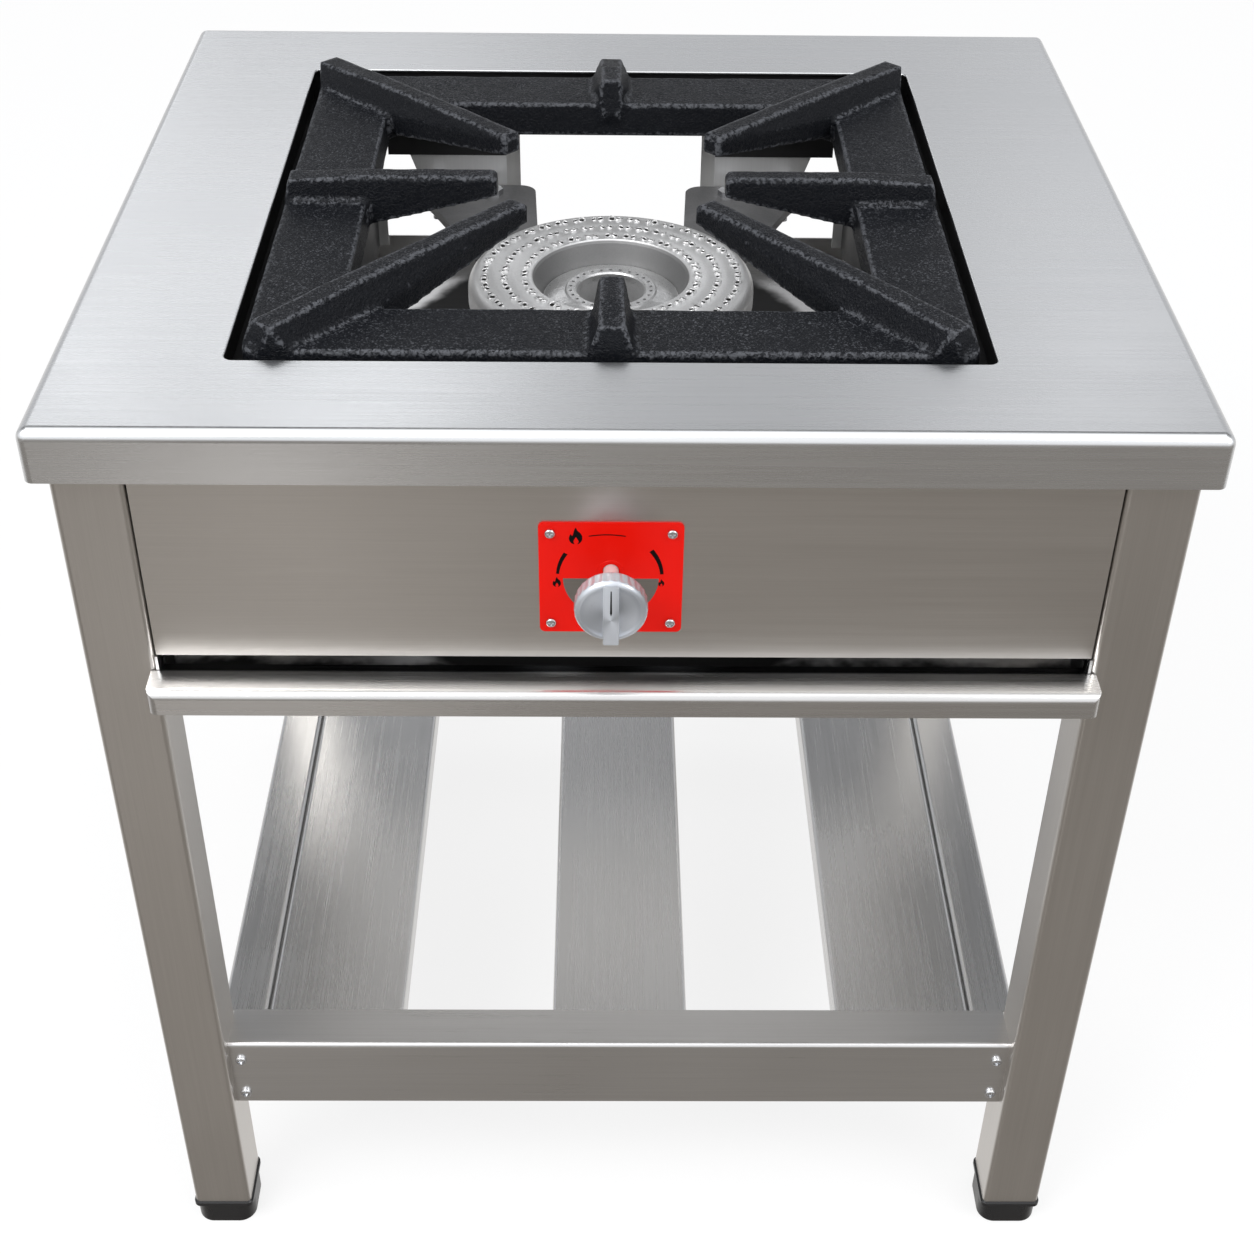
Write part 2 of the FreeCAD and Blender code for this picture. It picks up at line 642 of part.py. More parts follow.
# ---------------------------------------------------------------- support under the grate
def square_ring(out_x, out_y, in_x, in_y, z0, z1):
    """A flat or upright square ring about the middle of the cut-out."""
    outer = block(-out_x, out_x, -out_y, out_y, z0, z1)
    return outer.cut(block(-in_x, in_x, -in_y, in_y, z0, z1))


def grate_support():
    """Folded ring: flange under the plate, wall round the cut-out, ledge and four tabs."""
    flange_x, flange_y = LEDGE_OUT_X + LEDGE_TOP_FLANGE, LEDGE_OUT_Y + LEDGE_TOP_FLANGE
    wall_x, wall_y = LEDGE_OUT_X - LEDGE_SHEET, LEDGE_OUT_Y - LEDGE_SHEET
    flange = square_ring(flange_x, flange_y, wall_x, wall_y, PLATE_UNDER - LEDGE_SHEET, PLATE_UNDER)
    wall = square_ring(LEDGE_OUT_X, LEDGE_OUT_Y, wall_x, wall_y, LEDGE_UNDER, PLATE_UNDER)
    ledge = square_ring(LEDGE_OUT_X, LEDGE_OUT_Y, LEDGE_IN_X, LEDGE_IN_Y, LEDGE_UNDER, GRATE_BOTTOM)
    tab = block(HANGER_IN + HANGER_FOLD, LEDGE_TAB_END, HANGER_Y - LEDGE_SHEET, HANGER_Y,
                GRATE_BOTTOM - LEDGE_TAB_DROP, GRATE_BOTTOM)
    tab = tab.cut([rod("y", x, z, RIVET_RADIUS, 0, HANGER_Y + 1) for x, z in rivet_places()])
    tabs = [flipped(mirrored(tab, sx), sy) for _, sx in SIDES for _, sy in ENDS]
    return in_well(joined([flange, wall, ledge] + tabs))


def rivet_places():
    """The (x, z) of the two rivets that hold the rear right hanger to its tab."""
    middle = (HANGER_IN + HANGER_FOLD + HANGER_TOP_END) / 2
    return [(middle + s * RIVET_SPACING / 2, GRATE_BOTTOM - LEDGE_TAB_DROP / 2) for s in (-1, 1)]


def side_guard(side):
    """Black guard under one side of the ledge, with returns at its two ends."""
    x0, x1 = GUARD_X, GUARD_X + GUARD_SHEET
    z0 = GRATE_BOTTOM - GUARD_DROP
    web = block(x0, x1, GUARD_FRONT, GUARD_REAR, z0, LEDGE_UNDER)
    flange = block(x0, x1 + GUARD_FLANGE, GUARD_FRONT, GUARD_REAR, LEDGE_UNDER - GUARD_SHEET, LEDGE_UNDER)
    z1 = LEDGE_UNDER - 2 * GUARD_SHEET
    rear = block(x0 - GUARD_RETURN, x1, GUARD_REAR - GUARD_SHEET, GUARD_REAR, z0, z1)
    front = block(x0 - GUARD_RETURN, x1, GUARD_FRONT, GUARD_FRONT + GUARD_SHEET, z0, z1)
    return in_well(mirrored(joined([web, flange, rear, front]), side))


def bolt_places():
    """The (x, y) of the bolts of the rear right lug, about the middle of the burner."""
    middle = (HANGER_IN + LUG_OUT_TIP) / 2
    return [(middle + s * BOLT_SPACING / 2, LUG_REACH - BOLT_INSET) for s in (-1, 1)]


def hanger(side, end):
    """Bent strip from a tab of the ledge down to a foot under one lug of the carrier."""
    y0, y1 = HANGER_Y, HANGER_Y + HANGER_SHEET
    inner = HANGER_IN + HANGER_FOLD
    foot_end = LUG_OUT_TIP - HANGER_FOLD
    foot_under = CARRIER_UNDER - HANGER_SHEET
    top = LEDGE_UNDER - HANGER_SHEET
    web_side = [(inner, foot_under), (foot_end, foot_under), (HANGER_TOP_END, top), (inner, top)]
    web = prism("y", web_side, y0, y1)
    fold_plan = [(inner, y0), (inner, y1), (HANGER_IN, y1 + HANGER_FOLD), (HANGER_IN, y0 + HANGER_FOLD)]
    fold = prism("z", fold_plan, foot_under, top)
    foot_plate = block(inner, foot_end, y1 - HANGER_FOOT, y1, foot_under, CARRIER_UNDER)
    holes = [rod("z", x, y, BOLT_RADIUS + BOLT_CLEAR, foot_under - 1, CARRIER_UNDER + 1)
             for x, y in bolt_places()]
    holes += [rod("y", x, z, RIVET_RADIUS, y0 - 1, y1 + 1) for x, z in rivet_places()]
    return in_well(flipped(mirrored(joined([web, fold, foot_plate]).cut(holes), side), end))


def hanger_rivets():
    """Eight domed rivets through the ledge's tabs and the hangers."""
    y0, y1 = HANGER_Y - LEDGE_SHEET, HANGER_Y + HANGER_SHEET
    pieces = []
    for x, z in rivet_places():
        heads = [rod("y", x, z, RIVET_HEAD, y0 - RIVET_HEAD_HEIGHT, y0),
                 rod("y", x, z, RIVET_HEAD, y1, y1 + RIVET_HEAD_HEIGHT)]
        pieces.append(joined([rod("y", x, z, RIVET_RADIUS, y0, y1)] + heads))
    return Part.makeCompound([in_well(flipped(mirrored(piece, sx), sy))
                              for piece in pieces for _, sx in SIDES for _, sy in ENDS])


# ---------------------------------------------------------------- burner
def burner_carrier():
    """Iron ring with four broad lugs, open at the front for the mixing tube."""
    z0, z1 = CARRIER_UNDER, CARRIER_TOP
    outline = [(LUG_IN_ROOT, LUG_ROOT_Y), (LUG_IN_TIP, LUG_REACH), (LUG_OUT_TIP, LUG_REACH),
               (LUG_OUT_ROOT, LUG_ROOT_Y)]
    lug = prism("z", outline, z0, z1)
    lug = rounded(lug, LUG_CORNER, lambda middle, d: upright(middle, d) and middle.y > LUG_REACH - 1)
    lug = lug.cut([rod("z", x, y, BOLT_RADIUS + BOLT_CLEAR, z0 - 1, z1 + 1) for x, y in bolt_places()])
    ring = rod("z", 0, 0, CARRIER_RING_OUTER, z0, z1)
    pieces = [ring] + [flipped(mirrored(lug, sx), sy) for _, sx in SIDES for _, sy in ENDS]
    body = joined(pieces).cut(rod("z", 0, 0, PAN_RADIUS + CARRIER_CLEAR, z0 - 1, z1 + 1))
    gap = TUBE_RADIUS + 2 * CARRIER_CLEAR
    return in_well(body.cut(block(-gap, gap, -BURNER_RADIUS, 0, z0 - 1, z1 + 1)))


def burner_body():
    """Lower casting: pan with an annular chamber, hub and forward mixing tube."""
    z0, z1 = CARRIER_TOP - PAN_DEPTH, HEAD_BOTTOM
    hub = INNER_SKIRT + BURNER_WALL
    pan = rod("z", 0, 0, PAN_RADIUS, z0, z1).fuse(rod("z", 0, 0, BURNER_FLANGE_RADIUS, CARRIER_TOP, z1))
    tube = rod("y", 0, KNOB_Z, TUBE_RADIUS, -MOUTH_REACH, -hub + BURNER_WALL / 2)
    bell_back = -MOUTH_REACH + BELL_LENGTH
    bell = rod("y", 0, KNOB_Z, BELL_RADIUS, -MOUTH_REACH, bell_back)
    cone = Part.makeCone(BELL_RADIUS, TUBE_RADIUS, BELL_LENGTH, V(0, bell_back, KNOB_Z), V(0, 1, 0))
    body = joined([pan, tube, bell, cone])
    chamber = rod("z", 0, 0, PAN_RADIUS - BURNER_WALL, z0 + PAN_FLOOR, z1 + 1).cut(
        rod("z", 0, 0, hub, z0, z1 + 1))
    core = rod("z", 0, 0, INNER_SKIRT - CORE_SET, z0 + PAN_FLOOR, z1 + 1).cut(
        rod("z", 0, 0, INNER_HOLE + BURNER_WALL, z0, z1 + 1))
    hole = rod("z", 0, 0, INNER_HOLE, z0 - 1, z1 + 1)
    bore = rod("y", 0, KNOB_Z, TUBE_BORE, -MOUTH_REACH + BELL_WALL, -hub - BURNER_WALL)
    bell_bore = rod("y", 0, KNOB_Z, BELL_RADIUS - BELL_WALL, -MOUTH_REACH + BELL_WALL, bell_back)
    bell_cone = Part.makeCone(BELL_RADIUS - BELL_WALL, TUBE_BORE, BELL_LENGTH,
                              V(0, bell_back, KNOB_Z), V(0, 1, 0))
    ways = [block(s * (hub - 2 * BURNER_WALL), s * (hub + BURNER_WALL), -BURNER_WALL, BURNER_WALL,
                  z0 + PAN_FLOOR, z1 - BURNER_WALL) for s in (-1, 1)]
    windows = [rod("y", x, z, AIR_HOLE, -MOUTH_REACH - 1, -MOUTH_REACH + BELL_WALL + 1)
               for x, z in air_places()]
    jet_way = rod("y", 0, KNOB_Z, JET_RADIUS + BOLT_CLEAR, -MOUTH_REACH - 1, -MOUTH_REACH + BELL_WALL + 1)
    return in_well(body.cut([chamber, core, hole, bore, bell_bore, bell_cone, jet_way] + ways + windows))


def air_places():
    """The (x, z) of the air holes in the tube's mouth and in the shutter."""
    turns = [math.radians(90 + 360 * i / AIR_HOLES) for i in range(AIR_HOLES)]
    return [(AIR_HOLE_CIRCLE * math.cos(t), KNOB_Z + AIR_HOLE_CIRCLE * math.sin(t)) for t in turns]


def ported(shape, radii, pair, z0, z1):
    """Drill rings of upright ports in pairs; a pair's two ports lie pair apart."""
    drills = []
    for radius in radii:
        count = round(2 * math.pi * radius / PORT_PITCH)
        for i in range(count):
            for s in (-1, 1):
                turn = 2 * math.pi * i / count + s * pair / 2 / radius
                drills.append(rod("z", radius * math.cos(turn), radius * math.sin(turn), PORT_RADIUS, z0, z1))
    return shape.cut(Part.makeCompound(drills))


def burner_ring():
    """Drilled outer ring: a hollow cap with a rounded shoulder and a sloping bowl."""
    z0, z1, t = HEAD_BOTTOM, BURNER_TOP, BURNER_WALL
    r1, s, bevel = BURNER_RADIUS, BURNER_SHOULDER, BURNER_RIM_BEVEL
    k = s * (1 - math.sqrt(0.5))
    edges = [Part.makeLine(V(r1, 0, z0), V(r1, 0, z1 - s)),
             Part.Arc(V(r1, 0, z1 - s), V(r1 - k, 0, z1 - k), V(r1 - s, 0, z1)).toShape(),
             Part.makeLine(V(r1 - s, 0, z1), V(BURNER_BOWL + bevel, 0, z1)),
             Part.makeLine(V(BURNER_BOWL + bevel, 0, z1), V(BURNER_BOWL, 0, z1 - bevel)),
             Part.makeLine(V(BURNER_BOWL, 0, z1 - bevel), V(BURNER_BOWL_FLOOR, 0, z0)),
             Part.makeLine(V(BURNER_BOWL_FLOOR, 0, z0), V(BURNER_BOWL_FLOOR + t, 0, z0)),
             Part.makeLine(V(BURNER_BOWL_FLOOR + t, 0, z0), V(BURNER_BOWL + t, 0, z1 - t)),
             Part.makeLine(V(BURNER_BOWL + t, 0, z1 - t), V(r1 - s, 0, z1 - t)),
             Part.makeLine(V(r1 - s, 0, z1 - t), V(r1 - t, 0, z1 - s)),
             Part.makeLine(V(r1 - t, 0, z1 - s), V(r1 - t, 0, z0)),
             Part.makeLine(V(r1 - t, 0, z0), V(r1, 0, z0))]
    cap = Part.Face(Part.Wire(edges)).revolve(V(0, 0, 0), V(0, 0, 1), 360)
    return in_well(ported(cap, PORT_ROWS, PORT_PAIR, z1 - 2 * t, z1 + 1))


def burner_inner_ring():
    """Inner ring: a conical cap round the middle air hole, lower than the rim."""
    z0, z1 = HEAD_BOTTOM, BURNER_TOP - INNER_BELOW_RIM
    skirt = BURNER_BOWL_FLOOR - CARRIER_CLEAR
    b = INNER_BEVEL
    profile = [(INNER_HOLE, z0), (INNER_HOLE, z1 - b), (INNER_HOLE + b, z1), (INNER_RADIUS - b, z1),
               (INNER_RADIUS, z1 - b), (skirt, z0 + b), (skirt, z0)]
    cap = turned(profile, 0, 0)
    return in_well(ported(cap, (INNER_PORT_ROW,), PORT_PITCH / 2, z0 - 1, z1 + 1))


def carrier_bolts():
    """Eight bolts, heads up, through the lugs and the hangers' feet."""
    pieces = []
    for _, sx in SIDES:
        for _, sy in ENDS:
            for x, y in bolt_places():
                shank = rod("z", sx * x, sy * y, BOLT_RADIUS, CARRIER_UNDER - BOLT_TAIL, CARRIER_TOP)
                head = hexagon("z", sx * x, sy * y, BOLT_HEX, CARRIER_TOP, CARRIER_TOP + BOLT_HEAD)
                pieces.append(in_well(joined([head, shank])))
    return Part.makeCompound(pieces)


def carrier_nuts():
    """The nuts under the hangers' feet."""
    z1 = CARRIER_UNDER - HANGER_SHEET
    pieces = []
    for _, sx in SIDES:
        for _, sy in ENDS:
            for x, y in bolt_places():
                nut = hexagon("z", sx * x, sy * y, BOLT_HEX, z1 - BOLT_NUT, z1)
                hole = rod("z", sx * x, sy * y, BOLT_RADIUS, z1 - BOLT_NUT - 1, z1 + 1)
                pieces.append(in_well(nut.cut(hole)))
    return Part.makeCompound(pieces)


def air_shutter():
    """Disc with air holes that turns on the injector, with a bent tab."""
    disc = rod("y", 0, KNOB_Z, BELL_RADIUS - SHUTTER_EDGE, SHUTTER_FRONT, SHUTTER_BACK)
    half = SHUTTER_TAB / 2
    low = KNOB_Z - BELL_RADIUS - half
    stem = block(-half, half, SHUTTER_FRONT, SHUTTER_BACK, low, KNOB_Z - BELL_RADIUS + SHUTTER_NECK)
    bend = block(-half, half, SHUTTER_FRONT - half, SHUTTER_BACK, low, low + SHUTTER_SHEET)
    holes = [rod("y", x, z, AIR_HOLE, SHUTTER_FRONT - 1, SHUTTER_BACK + 1) for x, z in air_places()]
    holes.append(rod("y", 0, KNOB_Z, JET_RADIUS + RUN_FIT, SHUTTER_FRONT - 1, SHUTTER_BACK + 1))
    return joined([disc, stem, bend]).cut(holes).translated(V(WELL_X, 0, 0))


# ---------------------------------------------------------------- valve, injector and knob
def on_axis(radius, start, end):
    """A cylinder on the knob's axis."""
    return rod("y", WELL_X, KNOB_Z, radius, start, end)


def injector():
    """Brass jet: a stub in the valve's cap, a hexagon and a long nose with its orifice."""
    hex_back = SHUTTER_FRONT - JET_CLEAR
    hex_front = hex_back - JET_HEX_LENGTH
    body = joined([on_axis(JET_RADIUS, CAP_BACK, JET_TIP),
                   hexagon("y", WELL_X, KNOB_Z, JET_HEX, hex_front, hex_back)])
    way = on_axis(GAS_WAY, CAP_BACK - 1, JET_TIP - GAS_WAY)
    return body.cut([way, on_axis(JET_BORE, CAP_BACK, JET_TIP + 1)])


def valve_body():
    """Brass tap body with a square flange, a barrel and a side inlet."""
    half = VALVE_FLANGE / 2
    flange = block(WELL_X - half, WELL_X + half, BRACKET_BACK, BRACKET_BACK + VALVE_FLANGE_THICK,
                   KNOB_Z - half, KNOB_Z + half)
    flange = rounded(flange, PLATE_CORNER, lambda _, d: abs(d.y) > 0.999)
    barrel = on_axis(VALVE_RADIUS, BRACKET_BACK, VALVE_BACK)
    stub_tube = rod("x", PIPE_Y, KNOB_Z, STUB_RADIUS, WELL_X, STUB_END)
    front = on_axis(SPINDLE_RADIUS + RUN_FIT, BRACKET_BACK - 1, PLUG_FRONT)
    room = on_axis(PLUG_RADIUS + RUN_FIT, PLUG_FRONT, VALVE_BACK + 1)
    inlet = rod("x", PIPE_Y, KNOB_Z, GAS_WAY, WELL_X + PLUG_RADIUS, STUB_END + 1)
    holes = [rod("y", x, z, SCREW_RADIUS, BRACKET_BACK - 1, BRACKET_BACK + VALVE_FLANGE_THICK + 1)
             for x, z in valve_screw_places()]
    return joined([flange, barrel, stub_tube]).cut([front, room, inlet] + holes)


def valve_plug():
    """Plug that turns in the body: cross port, rear way and a slot for the spindle."""
    body = on_axis(PLUG_RADIUS, PLUG_FRONT + RUN_FIT, PLUG_BACK)
    slot = block(WELL_X - TANG_THICK / 2 - TANG_FIT, WELL_X + TANG_THICK / 2 + TANG_FIT,
                 PLUG_FRONT - 1, PLUG_FRONT + PLUG_SLOT + PUSH_TRAVEL,
                 KNOB_Z - SPINDLE_RADIUS - TANG_FIT, KNOB_Z + SPINDLE_RADIUS + TANG_FIT)
    rear_way = on_axis(GAS_WAY, PIPE_Y, PLUG_BACK + 1)
    port = rod("z", WELL_X, PIPE_Y, GAS_WAY, KNOB_Z, KNOB_Z + PLUG_RADIUS + 1)
    return body.cut([slot, rear_way, port])


def valve_cap():
    """Hexagonal cap that closes the body behind the plug and takes the injector."""
    cap = hexagon("y", WELL_X, KNOB_Z, CAP_HEX, VALVE_BACK, CAP_BACK)
    spigot = on_axis(PLUG_RADIUS, PLUG_BACK + RUN_FIT, VALVE_BACK)
    return joined([cap, spigot]).cut(on_axis(GAS_WAY, PLUG_BACK - 1, CAP_BACK + 1))


def valve_spindle():
    """Spindle from the knob to the plug, with a flat tang at its rear end."""
    tang_front = PLUG_FRONT + PLUG_SLOT - TANG_LENGTH - TANG_FIT
    shaft = on_axis(SPINDLE_RADIUS, KNOB_BACK - KNOB_BOSS_LENGTH, PLUG_FRONT - PUSH_TRAVEL - TANG_FIT)
    tang = block(WELL_X - TANG_THICK / 2, WELL_X + TANG_THICK / 2, PLUG_FRONT - PUSH_TRAVEL - TANG_LENGTH,
                 tang_front + TANG_LENGTH, KNOB_Z - SPINDLE_RADIUS, KNOB_Z + SPINDLE_RADIUS)
    tang = tang.common(on_axis(SPINDLE_RADIUS, PLUG_FRONT - 2 * TANG_LENGTH, PLUG_FRONT + 2 * TANG_LENGTH))
    return joined([shaft, tang])


def knob():
    """Fluted knob with a dished face and a raised grip."""
    back, face = KNOB_BACK, KNOB_FACE
    skirt = on_axis(KNOB_RADIUS, face + KNOB_CHAMFER, back)
    bevel = Part.makeCone(KNOB_FACE_RADIUS, KNOB_RADIUS, KNOB_CHAMFER, V(WELL_X, face, KNOB_Z), V(0, 1, 0))
    grip_profile = [(face + KNOB_CHAMFER, KNOB_Z + GRIP_HALF), (face - GRIP_TOP_HEIGHT, KNOB_Z + GRIP_HALF),
                    (face - GRIP_HEIGHT, KNOB_Z), (face - GRIP_HEIGHT, KNOB_Z - GRIP_HALF),
                    (face + KNOB_CHAMFER, KNOB_Z - GRIP_HALF)]
    grip = prism("x", grip_profile, WELL_X - GRIP_WIDTH / 2, WELL_X + GRIP_WIDTH / 2)
    body = joined([skirt, bevel, grip])
    flutes = []
    for i in range(KNOB_FLUTES):
        turn = 2 * math.pi * (i + 0.5) / KNOB_FLUTES
        reach = KNOB_RADIUS + KNOB_FLUTE_DEPTH
        flutes.append(rod("y", WELL_X + reach * math.cos(turn), KNOB_Z + reach * math.sin(turn),
                          2 * KNOB_FLUTE_DEPTH, face + KNOB_CHAMFER, back + 1))
    ring = on_axis(KNOB_RADIUS - KNOB_WALL, back - KNOB_BOSS_LENGTH, back + 1).cut(
        on_axis(KNOB_BOSS, back - KNOB_BOSS_LENGTH - 1, back + 1))
    bore = on_axis(SPINDLE_RADIUS, KNOB_BACK - KNOB_BOSS_LENGTH, back + 1)
    return body.cut(flutes).cut(ring).cut(bore)


def control_plate():
    """Red plate behind the knob, screwed to the fascia."""
    half_w, half_h = PLATE_WIDTH / 2, PLATE_HEIGHT / 2
    plate = block(WELL_X - half_w, WELL_X + half_w, PLATE_FACE, FASCIA_FACE,
                  PLATE_Z - half_h, PLATE_Z + half_h)
    plate = rounded(plate, PLATE_CORNER, lambda _, d: abs(d.y) > 0.999)
    holes = [on_axis(SPINDLE_HOLE, PLATE_FACE - 1, FASCIA_FACE + 1)]
    holes += [rod("y", x, z, SCREW_RADIUS + SCREW_CLEAR, PLATE_FACE - 1, FASCIA_FACE + 1)
              for x, z in plate_screw_places()]
    return plate.cut(holes)


def pan_screw(axis, u, v, seat, outward, sizes):
    """A pan-head screw; seat is where its head lies, outward the way the head points."""
    radius, head_radius, head_height, length = sizes
    shank = rod(axis, u, v, radius, seat, seat - outward * length)
    head = rod(axis, u, v, head_radius, seat, seat + outward * head_height)
    end = seat + outward * head_height
    top = [e for e in head.Edges if abs((e.CenterOfMass - place(axis, u, v, end)).Length) < 0.01]
    head = head.makeFillet(head_height * 0.6, top)
    cross, arm = head_radius * CROSS_REACH, head_radius * CROSS_ARM
    low, high = end - outward * head_height * CROSS_DEPTH, end + outward
    for a, b in ((cross, arm), (arm, cross)):
        slot = [(u - a, v - b), (u + a, v - b), (u + a, v + b), (u - a, v + b)]
        head = head.cut(prism(axis, slot, low, high))
    return joined([head, shank])


def control_plate_screws():
    """Four small pan-head screws through plate, fascia and valve bracket."""
    sizes = (SCREW_RADIUS, SCREW_HEAD, SCREW_HEAD_HEIGHT, SCREW_LENGTH)
    return Part.makeCompound([pan_screw("y", x, z, PLATE_FACE, -1, sizes) for x, z in plate_screw_places()])


def valve_bracket():
    """Plate behind the fascia that takes the screws and carries the valve."""
    half_w, half_h = PLATE_WIDTH / 2, PLATE_HEIGHT / 2
    plate = block(WELL_X - half_w, WELL_X + half_w, FASCIA_BACK, BRACKET_BACK,
                  PLATE_Z - half_h, PLATE_Z + half_h)
    holes = [on_axis(SPINDLE_HOLE, FASCIA_BACK - 1, BRACKET_BACK + 1)]
    holes += [rod("y", x, z, SCREW_RADIUS, FASCIA_BACK - 1, BRACKET_BACK + 1)
              for x, z in plate_screw_places() + valve_screw_places()]
    return plate.cut(holes)


def valve_screw_places():
    """The (x, z) of the two screws that hold the valve's flange."""
    reach = VALVE_FLANGE / 2 - SCREW_HEAD - SCREW_MARGIN
    return [(WELL_X - reach, KNOB_Z + reach), (WELL_X + reach, KNOB_Z - reach)]


def valve_screws():
    """Two screws through the valve's flange into its bracket."""
    sizes = (SCREW_RADIUS, SCREW_HEAD, SCREW_HEAD_HEIGHT, VALVE_FLANGE_THICK + BRACKET_SHEET)
    seat = BRACKET_BACK + VALVE_FLANGE_THICK
    return Part.makeCompound([pan_screw("y", x, z, seat, 1, sizes) for x, z in valve_screw_places()])


# ---------------------------------------------------------------- gas pipe
def supply_pipe():
    """Pipe from the valve's side inlet, round the right corner, to the rear inlet."""
    start = V(STUB_END, PIPE_Y, KNOB_Z)
    corner = V(PIPE_X, PIPE_Y, KNOB_Z)
    finish = V(PIPE_X, INLET_Y, KNOB_Z)
    before, after = corner - V(PIPE_BEND, 0, 0), corner + V(0, PIPE_BEND, 0)
    middle = V(PIPE_X - PIPE_BEND * (1 - math.sqrt(0.5)), PIPE_Y + PIPE_BEND * (1 - math.sqrt(0.5)), KNOB_Z)
    path = Part.Wire([Part.makeLine(start, before), Part.Arc(before, middle, after).toShape(),
                      Part.makeLine(after, finish)])
    walls = []
    for radius in (PIPE_RADIUS, PIPE_RADIUS - PIPE_WALL):
        circle = Part.Wire(Part.makeCircle(radius, start, V(1, 0, 0)))
        walls.append(path.makePipeShell([circle], True, False))
    return walls[0].cut(walls[1])


def pipe_nuts():
    """Compression nuts: one at the valve's inlet stub, one behind the rear fitting."""
    at_valve = hexagon("x", PIPE_Y, KNOB_Z, NUT_HEX, STUB_END, STUB_END + NUT_LENGTH)
    at_valve = at_valve.cut(rod("x", PIPE_Y, KNOB_Z, PIPE_RADIUS, STUB_END - 1, STUB_END + NUT_LENGTH + 1))
    rear = INLET_Y - INLET_HEX_LENGTH
    at_rear = hexagon("y", PIPE_X, KNOB_Z, NUT_HEX, rear - NUT_LENGTH, rear)
    at_rear = at_rear.cut(rod("y", PIPE_X, KNOB_Z, PIPE_RADIUS, rear - NUT_LENGTH - 1, rear + 1))
    return Part.makeCompound([at_valve, at_rear])


def inlet_fitting():
    """Bulkhead fitting with the threaded gas inlet, which points back."""
    inner = hexagon("y", PIPE_X, KNOB_Z, INLET_HEX, INLET_Y - INLET_HEX_LENGTH, INLET_Y)
    through = BRACKET_SHEET + INLET_HEX_LENGTH
    outer = hexagon("y", PIPE_X, KNOB_Z, INLET_HEX, INLET_Y + BRACKET_SHEET, INLET_Y + through)
    thread = rod("y", PIPE_X, KNOB_Z, INLET_THREAD, INLET_Y, INLET_Y + through + INLET_THREAD_LENGTH)
    body = joined([inner, outer, thread])
    seat = rod("y", PIPE_X, KNOB_Z, PIPE_RADIUS, INLET_Y - INLET_HEX_LENGTH - 1, INLET_Y)
    way = rod("y", PIPE_X, KNOB_Z, PIPE_RADIUS - PIPE_WALL, INLET_Y - 1,
              INLET_Y + through + INLET_THREAD_LENGTH + 1)
    return body.cut([seat, way])


def inlet_bracket():
    """Angle on the rear right leg that holds the inlet fitting."""
    z0, z1 = KNOB_Z - INLET_PLATE_HEIGHT / 2, KNOB_Z + INLET_PLATE_HEIGHT / 2
    reach = PIPE_X - INLET_PLATE_HEIGHT / 2
    plate = block(reach, LEG_IN_X, INLET_Y, INLET_Y + BRACKET_SHEET, z0, z1)
    flange = block(LEG_IN_X - BRACKET_SHEET, LEG_IN_X, INLET_Y - INLET_FLANGE, INLET_Y + BRACKET_SHEET,
                   z0, z1)
    hole = rod("y", PIPE_X, KNOB_Z, INLET_THREAD, INLET_Y - 1, INLET_Y + BRACKET_SHEET + 1)
    return joined([plate, flange]).cut(hole)


# ---------------------------------------------------------------- drip tray
def tray():
    """Folded drip tray that lies on the two runners."""
    z1 = TRAY_BOTTOM + TRAY_HEIGHT
    t = TRAY_SHEET
    outer = rounded(block(-TRAY_HALF, TRAY_HALF, TRAY_FRONT, TRAY_REAR, TRAY_BOTTOM, z1), TRAY_BEND, upright)
    inner = rounded(block(-TRAY_HALF + t, TRAY_HALF - t, TRAY_FRONT + t, TRAY_REAR - t, TRAY_BOTTOM + t, z1),
                    TRAY_BEND - t, upright)
    low_front = block(-TRAY_HALF, TRAY_HALF, TRAY_FRONT - 1, TRAY_FRONT + TRAY_BEND, HANDLE_UNDER, z1 + 1)
    return outer.cut(inner).cut(low_front)


def tray_handle():
    """Full-width folded lip in front of the tray, lapping a little over both legs."""
    half = LEG_IN_X + HANDLE_OVERLAP
    z0, z1, t = HANDLE_TOP_Z - HANDLE_DROP, HANDLE_TOP_Z, HANDLE_SHEET
    back = -LEG_OUT_Y - LEG_CLEAR
    outer = block(-half, half, HANDLE_FRONT, back, z0, z1)
    outer = rounded(outer, HANDLE_BEND,
                    lambda m, d: m.y < HANDLE_FRONT + 0.01 and (upright(m, d) or m.z > z1 - 0.01))
    inner = block(-half + t, half - t, HANDLE_FRONT + t, back + 1, z0 - 1, z1 - t)
    inner = rounded(inner, HANDLE_BEND - t,
                    lambda m, d: m.y < HANDLE_FRONT + t + 0.01 and (upright(m, d) or m.z > z1 - t - 0.01))
    hem = block(-half + HANDLE_BEND, half - HANDLE_BEND, HANDLE_FRONT, HANDLE_FRONT + HANDLE_HEM, z0, z0 + t)
    tongue = block(-TRAY_HALF, TRAY_HALF, back - 1, TRAY_FRONT + TRAY_BEND, HANDLE_UNDER, z1)
    return joined([outer.cut(inner), hem, tongue])


def tray_runner(side):
    """Angle between a front and a rear leg, under one edge of the tray."""
    x1, y1 = LEG_IN_X, LEG_OUT_Y
    wall = block(x1 - RUNNER_SHEET, x1, -y1, y1, RUNNER_Z, RUNNER_Z + RUNNER_HEIGHT)
    ledge = block(x1 - RUNNER_LEDGE, x1, -y1, y1, RUNNER_Z, RUNNER_Z + RUNNER_SHEET)
    return mirrored(joined([wall, ledge]), side)


# ---------------------------------------------------------------- undershelf
def shelf_screw_places():
    """The (x, z) of the two screws at the right end of a shelf rail."""
    x = LEG_IN_X - SHELF_SCREW_INSET
    return [(x, SHELF_TOP - SHELF_SCREW_DROP - i * SHELF_SCREW_PITCH) for i in range(2)]


